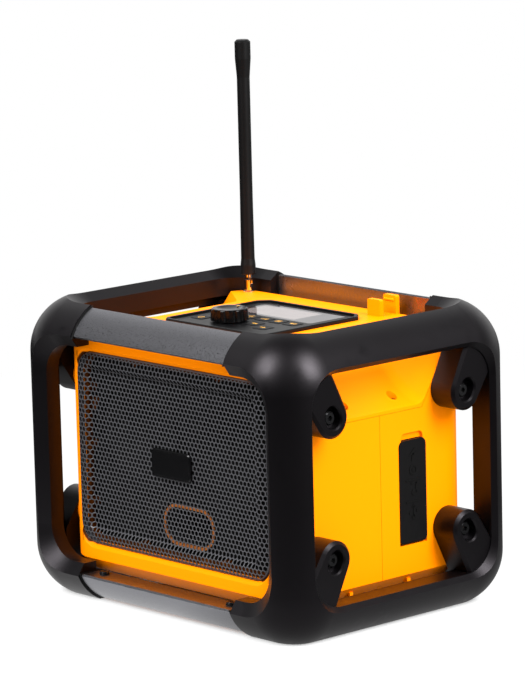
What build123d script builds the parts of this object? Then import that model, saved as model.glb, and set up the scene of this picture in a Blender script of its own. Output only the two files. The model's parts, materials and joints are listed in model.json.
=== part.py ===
from build123d import *
import os
from math import atan2, cos, degrees, radians, sin, sqrt, tan

# Jobsite radio: a sealed housing hung by eight screws inside a roll cage.
# Millimetres, +Z up, origin on the ground under the middle of the cage.
# The loudspeaker grille faces -Y and the socket cover is on the +X side.

os.makedirs("parts", exist_ok=True)

# ---------- roll cage ----------
cage_width = 300.0           # X, outside
cage_depth = 234.0           # Y, outside
cage_height = 226.9          # Z, of the rounded box before its feet are cut flat
foot_cut = 4.0               # taken off underneath so that the cage stands on flats
cage_radius = 42.0           # rounding of all twelve outer edges
rail = 26.7                  # thickness of the rails across X and Y
rail_height = 27.6           # thickness of the rails across Z
window_radius = 24.0         # corners of the openings between rails
window_lip = 5.6             # the front, rear and top openings are this much inside the rails' inner faces
window_bevel_run = 8.5       # bevel round them, across the rail
window_bevel_depth = 10.0    # where the bevel ends, under the cage's outer faces
bevel_top = 4.0              # where it starts
side_lip = 3.0               # the same for the two side openings
side_bevel_run = 3.0
side_bevel_depth = 6.5
floor_bevel = 0.6            # round the bottom opening, inside the landing flats
notch_x, notch_y, notch_z = 3.3, 5.3, 4.1      # relief behind the lips, along the rails' inner corners
bar_bevel = 1.6
sleeve_length = 68.0         # how far the side frames reach along the bars
bar_inset = 1.7              # the bars lie this much under the sleeves
bar_wall = 2.6
seal_thickness = 1.6
seal_inset = 1.2
spigot_length = 24.0
spigot_clearance = 0.3
bar_screw_inset = 12.0       # from the end of a bar to its screw
bar_screw_diameter = 4.0
bar_screw_head = 7.4
bar_screw_head_height = 2.4

# ---------- arms that carry the housing ----------
arm_sink = 7.5               # of the arms' outer face, inside the cage's outer face
arm_bevel = 2.2
lobe_radius = 14.3
lobe_inset_y = 24.8          # arm screws, from the inner edges of the rails
lobe_inset_z = 35.25
arm_lean_inner = 25.8        # lean of the arms' two edges from upright, degrees
arm_lean_outer = 33.4
pocket_width = 13.4
pocket_length = 17.0
pocket_depth = 7.5
pocket_shift = 0.8           # pocket centre lies this much further along the arm
frame_screw_head = 10.0
frame_screw_head_height = 3.4
frame_screw_shank = 5.0
frame_screw_socket = 4.4
frame_screw_length = 32.0

# ---------- housing ----------
side_gap = 3.3               # between the housing and the side rails
front_sink = 24.0            # of the housing's front and rear, inside the cage
housing_radius = 28.0        # upright corners
base_sink = 4.4              # of the housing's bottom, under the top of the lower rails
base_bevel = 10.3
taper_drop = 9.3             # the sides lean inwards from here, under the upper rails
taper_run = 11.2
deck_rise = 8.5              # top of the housing, over the underside of the upper rails
wall = 3.0
seam_drop = 46.0             # parting line of shells and top cover, under the upper rails
seam_gap = 0.3
ridge_sink = 52.0            # where the ridge starts at the seam, from the housing's front
ridge_slope = 0.648          # Y per Z along the ridge
ridge_skew = 0.717           # Y per X across the ridge
shoulder_foot_rise = 2.2     # foot of the hollow shoulder, over the seam
deck_margin = 18.7           # from the control panel to the edge of the deck
shoulder_hollow = 6.5        # depth of the shoulder's curve under its chord
shoulder_fillet = 12.0
seam_shift = 1.0             # the seam runs this far outside the ridge
boss_radius = 13.6
boss_height = 0.4
boss_depth = 16.0            # inside, for the arm screws
lug_y, lug_size = 28.6, 3.2  # small lugs on the lower bevel of each side
cover_screw_spacing = 17.0   # from the ridge's start
cover_screw_inset = 12.0     # from the housing's side
cover_scoop = 7.6            # width of the recess for a cover screw
cover_scoop_floor = 2.0      # above the foot of the shoulder
cover_cup_wall = 2.4
cover_screw_head = 5.8
cover_screw_head_height = 2.6
cover_screw_length = 14.0
cover_screw_radius = 1.6
cover_boss_radius = 4.5
shell_screw_inset = 22.0     # screws near the sides, from the housing's side
shell_screw_rise = 12.3      # their lower pair, over the bottom
shell_screw_drop = 9.5       # their upper pair, under the foot of the shoulder
shell_screw_middle = 40.0    # X of the middle pair
shell_screw_foot = 9.8       # the middle pair, over the bottom
shell_boss_radius = 5.0
boss_clearance = 1.0
swing_clearance = 0.2        # round a lid's edges as they turn about its pin
shell_screw_head = 6.6
shell_screw_head_height = 3.0
shell_screw_recess = 8.0
shell_screw_recess_depth = 6.0
shell_screw_length = 30.0
shell_screw_radius = 1.7

# ---------- loudspeaker grille ----------
grille_side = 18.0           # from the housing's sides to the grille
grille_drop = 11.5           # from the underside of the upper rails to the grille
grille_foot = 21.0           # from the housing's bottom to the grille
grille_radius = 17.0
grille_proud = 0.4           # foremost ridge of the sheet, before the housing's front
grille_roll_depth = 3.4      # rolled outer edge, from the ridge back to the bezel
grille_roll_width = 9.4
grille_step = 3.2            # the field lies this far behind the ridge
grille_ridge = 0.8           # width of the ridge's flat
grille_edge = 5.0            # straight edge behind the roll
grille_sheet = 1.4
grille_pitch = 12.0
grille_hole = 10.2           # across flats of a hexagonal hole
grille_clearance = 0.3
bezel_round = 3.0
seat_width = 5.0             # ledge that the sheet's edge rests on
seat_thickness = 3.0
badge_width = 42.0
badge_height = 20.8
badge_radius = 4.0
badge_thickness = 2.2
badge_drop = 0.6             # under the middle of the grille

# ---------- loudspeakers ----------
baffle_rim = 3.2             # of the baffle above and below the grille
baffle_thickness = 5.0
baffle_gap = 4.2             # from the grille's ledge to the baffle, bridged by posts
post_radius = 4.0
post_inset = 3.0             # from the edge of the grille opening
speaker_side = 8.0           # from the grille's edge
speaker_gap = 12.0           # between the loudspeakers
speaker_head = 13.8          # from the grille's upper edge
speaker_duct_gap = 4.0       # over the bass duct
speaker_seat = 5.0           # width of the flange that is screwed to the baffle
speaker_flange = 3.0
speaker_cone_inset = 8.0     # from the edge of the flange
speaker_throat_inset = 22.0
magnet_inset = 17.0
speaker_depth = 26.0         # of the basket behind the baffle's face
magnet_height = 16.0
duct_x = 5.0                 # bass duct
duct_rise = 24.8             # over the grille's lower edge
duct_width, duct_height, duct_corner = 50.0, 26.0, 12.4
duct_wall = 2.2
duct_length = 40.0
duct_proud = 3.0             # in front of the baffle
duct_clearance = 0.2

# ---------- control panel ----------
panel_half_width = 54.0
panel_front_y = -50.0
panel_rear_y = 52.7
panel_corner = 8.0
panel_front_corner = 5.0
panel_round = 2.5
rim_height = 2.8             # above the deck
rim_width = 3.0
rim_bevel = 0.8
panel_recess = 1.5           # panel face under the rim
panel_plate = 3.2
panel_lip = 2.0              # the panel rests on the deck this far round its opening
panel_skirt = 7.8            # reach of the skirt under the deck
panel_skirt_wall = 2.0
panel_clearance = 0.4
window_x0, window_x1 = -42.0, 42.0
window_y0, window_y1 = 8.0, 46.0
window_glass = 2.0
window_corner = 3.0
window_clearance = 0.2
display_x0, display_x1 = -37.0, 20.0
display_y0, display_y1 = 13.0, 39.0
display_frame = 2.0
key_width = 13.0
key_depth = 12.0
key_corner = 2.5
key_clearance = 0.25
key_proud = 0.4
key_flange = 0.9
key_flange_width = 0.8
key_flange_gap = 0.1
key_travel = 0.8
key_spots = {
    "key_source": (-10.9, -1.0), "key_band": (3.9, -1.0),
    "key_menu": (18.7, -1.0), "key_sound": (33.5, -1.0),
    "key_previous": (11.3, -18.0), "key_next": (28.2, -25.0),
    "key_power": (-38.0, -25.1)}
switch_size = 6.0
switch_play = 0.1            # left under a key that is pressed home
knob_x, knob_y = -11.0, -21.7
knob_radius = 14.0
knob_taper = 0.8
knob_height = 8.8
knob_dish = 1.6
knob_dish_radius = 9.5
knob_round = 1.4
knob_flutes = 14
knob_flute_radius = 2.6
knob_flute_depth = 1.2
knob_lift = 1.2              # under the knob, so that it can be pressed
knob_travel = 1.0
knob_cap = 2.0               # of the knob above the shaft
shaft_radius = 3.0
shaft_fit = 0.06
plunger_height = 1.0
plunger_seat = 0.2
encoder_size = 13.0
bushing_radius = 4.6
bushing_sink = 0.2           # of its top, under the panel's face

# ---------- aerial ----------
aerial_inset_x, aerial_inset_y = 24.5, 18.4    # from the housing's side and rear
collar_radius = 4.2
collar_height = 1.6
swivel_radius = 3.1
swivel_stem = 7.0            # of the base, under the deck's face
swivel_clearance = 0.15
aerial_nut_radius = 5.5
aerial_nut_height = 2.4
pivot_rise = 7.6             # tilt axis above the deck
slot_floor = 3.6             # bottom of the fork's slot, under the tilt axis
cheek_top = 2.0              # of the fork, above the tilt axis
knuckle_width = 2.2
knuckle_tail = 2.2
fork_gap = 0.15
pin_radius = 0.9
hinge_fit = 0.05
neck_start = 4.2
neck_radius = 2.9
neck_sink = 6.0
whip_start = 6.3             # the rubber starts this far above the tilt axis
whip_root_radius = 5.7
whip_root_length = 12.0
whip_neck_radius = 4.85
whip_tip_radius = 5.95
whip_tip_length = 14.0
whip_length = 177.0
clip_x0, clip_x1 = 43.0, 56.0
clip_plate = 3.6
clip_gap = 12.6
clip_height = 13.4
clip_step = 1.2              # the front plate stops this much lower
clip_bead = 1.1
clip_round = 1.6

# ---------- socket cover ----------
port_width, port_height = 26.4, 76.0
port_inset = 20.7            # from the arm screws
port_shift = -0.2            # over the middle of the upright part of the side
port_corner = 4.6
flap_proud = 0.7
flap_clearance = 0.3
flap_barrel = 2.1
flap_pin_radius = 0.6
flap_pin_reach = 2.2
flap_swing = 95.0            # how far the cover opens, degrees
notch_height = 5.2
notch_depth = 2.4
notch_margin = 2.4
well_margin = 5.0
well_corner = 1.0
well_depth = 14.0
well_wall = 2.4
dc_rise, usb_rise, aux_rise = 20.8, 40.8, 58.8  # over the cover's lower edge
dc_radius, dc_bore, dc_pin = 5.5, 3.2, 1.0
usb_width, usb_height, usb_wall = 13.4, 6.2, 1.2
usb_tongue_width, usb_tongue_height = 11.0, 1.6
aux_radius, aux_bore = 4.2, 1.75
socket_proud = 2.0           # above the floor of the well
socket_tail = 8.0
socket_fit = 0.1
socket_board_margin = 8.0

# ---------- battery bay ----------
bay_width, bay_height, bay_depth = 122.0, 64.0, 40.0
bay_rise = 58.8              # middle of the bay, over the housing's bottom
bay_wall = 2.2
bay_ledge = 6.0              # seat of the door round the bay
bay_flange = 3.0
door_corner = 9.0
door_clearance = 0.4
door_barrel = 1.8
door_pin_radius = 0.9
door_pin_reach = 2.6
door_swing = 100.0           # how far the door opens, degrees
door_notch_width = 34.0      # finger notch at the door's upper edge
door_notch_height = 7.0
door_notch_depth = 1.8
pack_clearance = 0.8

# ---------- boards ----------
board = 1.6
main_board_depth = 56.0
main_board_y = 8.0
main_board_drop = 29.8       # under the deck
main_board_edge = 8.0        # from its posts
main_board_post_inset = 10.7 # from the edge of the deck
main_board_post_y = 20.0
sink_width, sink_depth, sink_height = 44.0, 20.0, 12.0
sink_fins = 7
post_outer, post_bore = 3.5, 1.4
board_screw_head = 5.4
board_screw_head_height = 2.0
board_screw_length = 8.0

# ---------- worked out ----------
middle_z = cage_height / 2 - foot_cut
half_w, half_d, half_h = cage_width / 2, cage_depth / 2, cage_height / 2
lower_rail_z = middle_z - half_h + rail_height        # top of the lower rails
upper_rail_z = middle_z + half_h - rail_height        # underside of the upper rails
sleeve_x = half_w - sleeve_length
arm_face = half_w - arm_sink                          # X of the arms' outer face
lobe_y = half_d - rail - lobe_inset_y                 # arm screws, from the middle of the cage
lobe_rise = half_h - rail_height - lobe_inset_z       # and above and below it
housing_width = cage_width - 2 * (rail + side_gap)
housing_depth = cage_depth - 2 * front_sink
housing_x, housing_y = housing_width / 2, housing_depth / 2
base_z = lower_rail_z - base_sink
taper_z = upper_rail_z - taper_drop
deck_z = upper_rail_z + deck_rise
seam_z = upper_rail_z - seam_drop
ridge_y = housing_y - ridge_sink
shoulder_foot_z = seam_z + shoulder_foot_rise
shoulder_top_x = panel_half_width + deck_margin
cover_screw_x, cover_screw_y = housing_x - cover_screw_inset, ridge_y - cover_screw_spacing
shell_screws = ((housing_x - shell_screw_inset, base_z + shell_screw_rise),         # X and Z on the rear face
                (housing_x - shell_screw_inset, shoulder_foot_z - shell_screw_drop),
                (shell_screw_middle, base_z + shell_screw_foot))
front_y, rear_y = -housing_y, housing_y
rim_z = deck_z + rim_height
panel_z = rim_z - panel_recess
plate_z = panel_z - panel_plate              # underside of the panel's plate
control_z = deck_z - panel_skirt             # top of the control board
grille_width = housing_width - 2 * grille_side
grille_z0, grille_z1 = base_z + grille_foot, upper_rail_z - grille_drop
grille_height, grille_z = grille_z1 - grille_z0, (grille_z0 + grille_z1) / 2
badge_z = grille_z - badge_drop
ridge_front_y = front_y - grille_proud       # foremost ridge of the grille
field_y = ridge_front_y + grille_step        # front of the grille's flat field
field_inset = grille_roll_width + grille_ridge + grille_step
seat_y = ridge_front_y + grille_roll_depth + grille_edge
baffle_y = seat_y + seat_thickness + baffle_gap
baffle_width, baffle_height = grille_width, grille_height + 2 * baffle_rim
duct_z = grille_z0 + duct_rise
speaker_z0, speaker_z1 = duct_z + duct_height / 2 + speaker_duct_gap, grille_z1 - speaker_head
speaker_x1 = grille_width / 2 - speaker_side
# the largest pair that stands side by side over the duct
speaker_radius = min(speaker_z1 - speaker_z0, speaker_x1 - speaker_gap / 2) / 2
speaker_x, speaker_z = speaker_gap / 2 + speaker_radius, speaker_z0 + speaker_radius
speaker_hole = speaker_radius - speaker_seat
speaker_cone = speaker_radius - speaker_cone_inset
speaker_throat = speaker_radius - speaker_throat_inset
magnet_radius = speaker_radius - magnet_inset
aerial_x, aerial_y = aerial_inset_x - housing_x, housing_y - aerial_inset_y
pivot_z = deck_z + pivot_rise
port_y0, port_y1 = lobe_y - port_inset - port_width, lobe_y - port_inset
port_z = (base_z + base_bevel + seam_z) / 2 + port_shift
port_z0, port_z1 = port_z - port_height / 2, port_z + port_height / 2
socket_y = (port_y0 + port_y1) / 2
dc_z, usb_z, aux_z = port_z0 + dc_rise, port_z0 + usb_rise, port_z0 + aux_rise
flap_thickness = wall + flap_proud - flap_clearance
flap_axis_x = housing_x + flap_proud - flap_barrel
flap_axis_z = port_z0 + flap_barrel
well_x = housing_x - well_depth              # floor of the socket well
bay_z = base_z + bay_rise
door_thickness = wall - door_clearance
door_half_width = bay_width / 2 + bay_ledge
door_z0, door_z1 = bay_z - bay_height / 2 - bay_ledge, bay_z + bay_height / 2 + bay_ledge
door_axis_y, door_axis_z = rear_y - door_barrel, door_z0 + door_barrel
main_board_z = deck_z - main_board_drop
main_board_post_x = shoulder_top_x - main_board_post_inset
main_board_width = 2 * (main_board_post_x + main_board_edge)
far = 400.0                  # longer than anything it cuts


def save(shape, name, label=None):
    shape.label = label or name
    export_step(shape, os.path.join("parts", name + ".step"))


def block(x0, x1, y0, y1, z0, z1):
    """Box between two corners."""
    return Pos((x0 + x1) / 2, (y0 + y1) / 2, (z0 + z1) / 2) * Box(abs(x1 - x0), abs(y1 - y0), abs(z1 - z0))


def rod_x(x0, x1, y, z, radius):
    """Round bar along X."""
    return Pos((x0 + x1) / 2, y, z) * Rot(0, 90, 0) * Cylinder(radius, abs(x1 - x0))


def rod_y(y0, y1, x, z, radius):
    """Round bar along Y."""
    return Pos(x, (y0 + y1) / 2, z) * Rot(90, 0, 0) * Cylinder(radius, abs(y1 - y0))


def rod_z(z0, z1, x, y, radius):
    """Round bar along Z."""
    return Pos(x, y, (z0 + z1) / 2) * Cylinder(radius, abs(z1 - z0))


def group(solids):
    """Separate solids in one node."""
    return Compound(children=list(solids))


def mirror_x(shape):
    return mirror(shape, about=Plane.YZ)


def mirror_y(shape):
    return mirror(shape, about=Plane.XZ)


# ---------- roll cage ----------
def opening(plane, size_u, size_v, bevel_start, bevel_run, bevel_depth):
    """Prism of an opening through the cage, flared at both ends for its bevel."""
    outline = RectangleRounded(size_u, size_v, window_radius)
    cutter = extrude(plane * outline, far / 2, both=True)
    slant = degrees(atan2(bevel_run, bevel_depth))
    for turn in (0, 180):
        end = plane * Rot(turn, 0, 0) * Pos(0, 0, bevel_start) * outline
        cutter += extrude(end, 2 * bevel_depth, taper=-slant)
    return cutter


def cage_form():
    """Rounded box opened on all six sides, so that twelve rails are left."""
    wide, deep, high = cage_width - 2 * rail, cage_depth - 2 * rail, cage_height - 2 * rail_height
    form = fillet(Box(cage_width, cage_depth, cage_height).edges(), cage_radius)
    lip, run = 2 * window_lip, window_bevel_run
    depth = window_bevel_depth - bevel_top
    form -= opening(Plane.YZ, deep - 2 * side_lip, high - 2 * side_lip, half_w - side_bevel_depth,
                    side_bevel_run, side_bevel_run)
    form -= opening(Plane.XZ, wide - lip, high - lip, half_d - window_bevel_depth, run, depth)
    upright = opening(Plane.XY, wide - lip, deep - lip, half_h - window_bevel_depth, run, depth)
    form -= upright & block(-far, far, -far, far, 0, far)
    form -= opening(Plane.XY, wide - lip, deep - lip, half_h - foot_cut - floor_bevel, floor_bevel,
                    floor_bevel) & block(-far, far, -far, far, -far, 0.01)
    form -= Box(wide + 2 * notch_x, deep + 2 * notch_y, high + 2 * notch_z)
    form = Pos(0, 0, middle_z) * form
    return form - block(-far, far, -far, far, -foot_cut - 1, 0)


def rail_section(inset, x0, x1):
    """Section of the front lower bar, set in by inset all round, from x0 to x1."""
    y_in = -half_d + rail - inset
    z_in = middle_z - half_h + rail_height - inset
    arc_y, arc_z = -half_d + cage_radius, middle_z - half_h + cage_radius
    round_bar = rod_x(x0, x1, arc_y, arc_z, cage_radius - inset)
    return round_bar & block(x0, x1, -half_d, y_in, -foot_cut, z_in)


def four_corners(shape):
    """Copies of a shape at the front lower bar for all four bars."""
    upper = Pos(0, 0, 2 * middle_z) * mirror(shape, about=Plane.XY)
    return {"bottom_front": shape, "bottom_rear": mirror_y(shape),
            "top_front": upper, "top_rear": mirror_y(upper)}


def make_bars():
    outer = rail_section(bar_inset, -sleeve_x + seal_thickness, sleeve_x - seal_thickness)
    y_in, z_in = -half_d + rail - bar_inset, middle_z - half_h + rail_height - bar_inset
    reach = cage_radius - rail                   # from the rounding's axis to the bar's inner faces
    drop = cage_radius - sqrt((cage_radius - bar_inset) ** 2 - (reach + bar_inset) ** 2)
    for y, z in ((y_in, middle_z - half_h + drop), (-half_d + drop, z_in)):
        outer -= Pos(0, y, z) * Rot(45, 0, 0) * Box(far, bar_bevel * sqrt(2), bar_bevel * sqrt(2))
    bore = rail_section(bar_inset + bar_wall, -sleeve_x, sleeve_x)
    bar = outer - bore
    for side in (1, -1):
        x = side * (sleeve_x - seal_thickness - bar_screw_inset)
        bar -= rod_z(z_in - far, z_in + far, x, bar_screw_y(), bar_screw_diameter / 2) & \
            block(-far, far, -far, far, z_in - bar_wall - 1, z_in + 1)
    for name, shape in four_corners(bar).items():
        save(shape, "bar_" + name)


def bar_screw_y():
    """The bars' screws stand in the middle of the flat inner face."""
    return -half_d + rail - bar_inset - bar_wall - bar_screw_head / 2 - 1


def make_bar_seals():
    seal = rail_section(seal_inset, sleeve_x - seal_thickness, sleeve_x)
    seal -= rail_section(bar_inset + bar_wall + spigot_clearance / 2, sleeve_x - 2 * seal_thickness,
                         sleeve_x + 1)
    seals = list(four_corners(seal).values())
    save(group(seals + [mirror_x(s) for s in seals]), "bar_seals")


def make_bar_screws():
    z_in = middle_z - half_h + rail_height - bar_inset
    x = sleeve_x - seal_thickness - bar_screw_inset
    screw = rod_z(z_in - bar_wall - 6, z_in + 0.01, x, bar_screw_y(), bar_screw_diameter / 2 - 0.1)
    head = rod_z(z_in, z_in + bar_screw_head_height, x, bar_screw_y(), bar_screw_head / 2)
    head = chamfer(head.edges().group_by(Axis.Z)[-1], 0.8)
    screw = screw + head
    screw -= Pos(x, bar_screw_y(), z_in + bar_screw_head_height) * extrude(RegularPolygon(1.7, 6), -1.4)
    screws = list(four_corners(screw).values())
    save(group(screws + [mirror_x(s) for s in screws]), "bar_screws")


def arm_axis(lean):
    """Unit vector (Y, Z) of an arm's edge, from the lobe down and out."""
    return sin(radians(lean)), -cos(radians(lean))


def lower_rear_arm():
    """Arm from the lobe at one housing screw to the cage's lower rear corner."""
    cy, cz = lobe_y, middle_z - lobe_rise
    iy, iz = arm_axis(arm_lean_inner)
    oy, oz = arm_axis(arm_lean_outer)
    p1 = (cy + lobe_radius * iz, cz - lobe_radius * iy)
    p3 = (cy - lobe_radius * oz, cz + lobe_radius * oy)
    floor = middle_z - half_h + rail_height - 0.5
    reach = half_d - rail + 0.5
    t1 = (p1[1] - floor) / -iz
    t3 = (reach - p3[0]) / oy
    p2 = (p1[0] + t1 * iy, floor)
    p4 = (reach, p3[1] + t3 * oz)
    outline = make_face(Polyline(p1, p2, (reach, floor), p4, p3, close=True))
    outline += Pos(cy, cz) * Circle(lobe_radius)
    thickness = arm_face - housing_x - boss_height
    arm = Plane.YZ * Pos(0, 0, housing_x + boss_height) * extrude(outline, thickness - arm_bevel)
    arm += Plane.YZ * Pos(0, 0, arm_face - arm_bevel) * extrude(outline, arm_bevel, taper=45)
    lean = (arm_lean_inner + arm_lean_outer) / 2
    py, pz = arm_axis(lean)
    slot = Pos(cy + pocket_shift * py, cz + pocket_shift * pz) * Rot(0, 0, lean - 90) * \
        SlotOverall(pocket_length, pocket_width)
    arm -= Plane.YZ * Pos(0, 0, arm_face - pocket_depth) * extrude(slot, pocket_depth + 1)
    arm -= Plane.YZ * Pos(0, 0, arm_face - 1.2) * extrude(slot, 2.4, taper=-40)
    arm -= rod_x(housing_x - 1, arm_face, cy, cz, frame_screw_shank / 2 + 0.2)
    return arm


def make_side_frames(cage):
    frame = cage & block(sleeve_x, far, -far, far, -far, far)
    arm = lower_rear_arm()
    upper = Pos(0, 0, 2 * middle_z) * mirror(arm, about=Plane.XY)
    for piece in (arm, mirror_y(arm), upper, mirror_y(upper)):
        frame += piece
    inset = bar_inset + bar_wall + spigot_clearance
    spigot = rail_section(inset, sleeve_x - seal_thickness - spigot_length, sleeve_x + 1)
    for name, piece in four_corners(spigot).items():
        frame += piece
    z_in = middle_z - half_h + rail_height - bar_inset - bar_wall
    pilot = rod_z(z_in - 8, z_in + 1, sleeve_x - seal_thickness - bar_screw_inset, bar_screw_y(),
                  bar_screw_diameter / 2)
    for name, piece in four_corners(pilot).items():
        frame -= piece
    save(frame, "side_frame_right")
    save(mirror_x(frame), "side_frame_left")


def make_frame_screws():
    """Eight screws that hold the housing to the arms."""
    z = middle_z - lobe_rise
    floor = arm_face - pocket_depth
    head = rod_x(floor, floor + frame_screw_head_height, lobe_y, z, frame_screw_head / 2)
    head = chamfer(head.edges().group_by(Axis.X)[-1], 1.0)
    shank = rod_x(floor - frame_screw_length + frame_screw_head_height, floor + 1, lobe_y, z,
                  frame_screw_shank / 2 - 0.1)
    socket = Plane.YZ * Pos(lobe_y, z, floor + frame_screw_head_height - 2.0) * \
        extrude(RegularPolygon(frame_screw_socket / 2, 6), 3)
    screw = head + shank - socket
    upper = Pos(0, 0, 2 * middle_z) * mirror(screw, about=Plane.XY)
    right = [screw, mirror_y(screw), upper, mirror_y(upper)]
    save(group(right + [mirror_x(s) for s in right]), "frame_screws")


# ---------- housing ----------
def shoulder_cutter(inset):
    """What the hollow shoulder on the +X side takes away."""
    run, rise = shoulder_top_x - housing_x, deck_z - shoulder_foot_z
    chord = sqrt(run ** 2 + rise ** 2)
    nx, nz = -rise / chord, run / chord           # into the housing
    sx, sz = housing_x + inset * nx, shoulder_foot_z + inset * nz
    ex, ez = shoulder_top_x + inset * nx, deck_z + inset * nz
    middle = ((sx + ex) / 2 + shoulder_hollow * nx, (sz + ez) / 2 + shoulder_hollow * nz)
    top, out = deck_z + far / 4, housing_x + far / 4
    edge = [ThreePointArc((sx, sz), middle, (ex, ez)), Line((ex, ez), (ex, top)),
            Line((ex, top), (out, top)), Line((out, top), (out, sz)), Line((out, sz), (sx, sz))]
    prism = extrude(Plane.XZ * make_face(edge), far / 2, both=True)
    normal = Vector(-ridge_skew, 1, -ridge_slope).normalized()
    rear = Plane(origin=Vector(housing_x, ridge_y, seam_z) + normal * inset, z_dir=normal)
    rear_block = extrude(rear * Rectangle(far * 2, far * 2), far)
    prism = prism - rear_block - mirror_y(rear_block)
    meets = [e for e in prism.edges() if e.geom_type != GeomType.LINE and abs(e.center().Y) > ridge_y / 4]
    return fillet(meets, shoulder_fillet)


def housing_form(inset):
    """Outside of the closed housing, or the same form set in by a wall."""
    width, depth, radius = housing_width - 2 * inset, housing_depth - 2 * inset, housing_radius - inset
    outline = RectangleRounded(width, depth, radius)
    low, high = base_z + inset, deck_z - inset
    body = Pos(0, 0, low) * extrude(outline, taper_z - low)
    body = chamfer(body.faces().sort_by(Axis.Z)[0].edges(), base_bevel - inset * (2 - sqrt(2)))
    shrink = taper_run * (high - taper_z) / (deck_z - taper_z)
    top = RectangleRounded(width - 2 * shrink, depth - 2 * shrink, radius - shrink)
    body += loft([Pos(0, 0, taper_z) * outline, Pos(0, 0, high) * top], ruled=True)
    cutter = shoulder_cutter(inset)
    return body - cutter - mirror_x(cutter)


def cover_wedge(grow):
    """Region of the top cover, above the seam and between the two ridges."""
    share = 0.7                                   # of the taper, where the seam crosses it
    shift = seam_shift + grow
    foot, head = ridge_y + shift, ridge_y + ridge_slope * (taper_z - seam_z) + shift
    rear = housing_y - taper_run * share
    rear_z = taper_z + (deck_z - taper_z) * share - grow
    half = [(foot, seam_z - grow), (head, taper_z), (rear, rear_z), (rear + taper_run * 2, rear_z)]
    points = half + [(rear + taper_run * 2, deck_z + far / 4)]
    points += [(-y, z) for y, z in reversed(points)]
    return extrude(Plane.YZ * make_face(Polyline(*points, close=True)), far / 2, both=True)


def yz_outline(y0, y1, z0, z1, corner, grow=0.0):
    """Rounded outline on a side wall, in Y and Z."""
    return Pos((y0 + y1) / 2, (z0 + z1) / 2) * \
        RectangleRounded(y1 - y0 + 2 * grow, z1 - z0 + 2 * grow, corner + grow)


def side_slab(sketch, x0, x1):
    """Extrude a sketch drawn in Y and Z between two X values."""
    return extrude(Plane.YZ.offset(x0) * sketch, x1 - x0)


def back_slab(sketch, y0, y1):
    """Extrude a sketch drawn in X and Z between two Y values, y1 being the lower."""
    return extrude(Plane.XZ.offset(-y0) * sketch, y0 - y1)


def xz_outline(width, height, z, corner, grow=0.0, x=0.0):
    """Rounded outline on the front or rear, in X and Z."""
    return Pos(x, z) * RectangleRounded(width + 2 * grow, height + 2 * grow, corner + grow)


def both_sides(shape):
    return shape + mirror_x(shape)


def arm_boss(sy, sz):
    """Pad and screw boss for one arm, on the +X side."""
    return rod_x(housing_x - boss_depth, housing_x + boss_height, sy * lobe_y, middle_z + sz * lobe_rise,
                 boss_radius)


def arm_boss_hole(sy, sz):
    return rod_x(housing_x - boss_depth - 1, housing_x + boss_height + 1, sy * lobe_y,
                 middle_z + sz * lobe_rise, frame_screw_shank / 2)


def cover_boss(sy):
    """Boss and web inside a shell under one cover screw, on the +X side."""
    y, top = sy * cover_screw_y, seam_z - seam_gap
    low = top - cover_screw_length
    boss = rod_z(low, top, cover_screw_x, y, cover_boss_radius)
    web = block(cover_screw_x, housing_x - wall / 2, y - 1.5, y + 1.5, low, top)
    return boss + web


def scoop(sy, grow):
    """Recess of one cover screw, on the +X side."""
    return rod_z(shoulder_foot_z + cover_scoop_floor - grow, deck_z, cover_screw_x, sy * cover_screw_y,
                 cover_scoop / 2 + grow)


def grille_face(inset, y):
    """Rounded outline of the grille, set in by inset, at a given Y."""
    corner = max(grille_radius - inset, 3.0)
    return Plane.XZ.offset(-y) * (Pos(0, grille_z) * RectangleRounded(
        grille_width - 2 * inset, grille_height - 2 * inset, corner))


def grille_ring(inset0, y0, inset1, y1):
    return loft([grille_face(inset0, y0), grille_face(inset1, y1)], ruled=True)


def make_front_shell(outer, hollow, wedge):
    shell = (hollow & block(-far, far, -far, -seam_gap / 2, -far, far)) - wedge
    for sz in (1, -1):
        shell += both_sides(arm_boss(-1, sz))
        shell -= both_sides(arm_boss_hole(-1, sz))
    shell += both_sides(cover_boss(-1))
    shell -= both_sides(rod_z(seam_z - 3 * cover_screw_length, seam_z, cover_screw_x, -cover_screw_y,
                              cover_screw_radius))
    for x, z in shell_screws:
        shell += both_sides(rod_y(front_y, -seam_gap / 2, x, z, shell_boss_radius) & outer)
    # opening for the grille, with a rounded bezel and a ledge behind it
    shell += grille_ring(-seat_width, front_y, -seat_width, seat_y + seat_thickness) & outer
    shell -= grille_ring(0, front_y - 1, 0, seat_y)
    shell -= grille_ring(seat_width, front_y - 1, seat_width, seat_y + seat_thickness + 1)
    shell -= grille_ring(-bezel_round, front_y - 0.2, 0.3, front_y + bezel_round)
    for x, z in post_spots():
        shell += rod_y(seat_y, baffle_y, x, z, post_radius)
    for x, z in shell_screws:
        shell -= both_sides(rod_y(-shell_screw_length, 1, x, z, shell_screw_radius))
    shell += both_sides(lug(-1))
    save(shell, "front_shell")


def lug(sy):
    """Small lug on the lower bevel of the side."""
    low = base_z + base_bevel / 3
    return block(housing_x - base_bevel, housing_x - base_bevel / 4, sy * lug_y - lug_size / 2,
                 sy * lug_y + lug_size / 2, low, low + lug_size)


def post_spots():
    """Posts between the grille's ledge and the baffle."""
    x, z = grille_width / 2 - post_inset, grille_height / 2 - post_inset
    spots = [(sx * x, grille_z + sz) for sx in (1, -1) for sz in (-0.62 * z, 0, 0.62 * z)]
    spots += [(sx, grille_z + sz * z) for sx in (-0.45 * x, 0.45 * x) for sz in (1, -1)]
    return spots


def swing_reach(barrel, face, swing):
    """Room round a lid's pin: an open lid's face, as far from the pin as its barrel is round,
    crosses the face of the shell, which lies the second length from the pin."""
    angle = radians(swing)
    rise = (barrel - face * cos(angle)) / sin(angle)
    return sqrt(face ** 2 + rise ** 2) + swing_clearance


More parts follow.
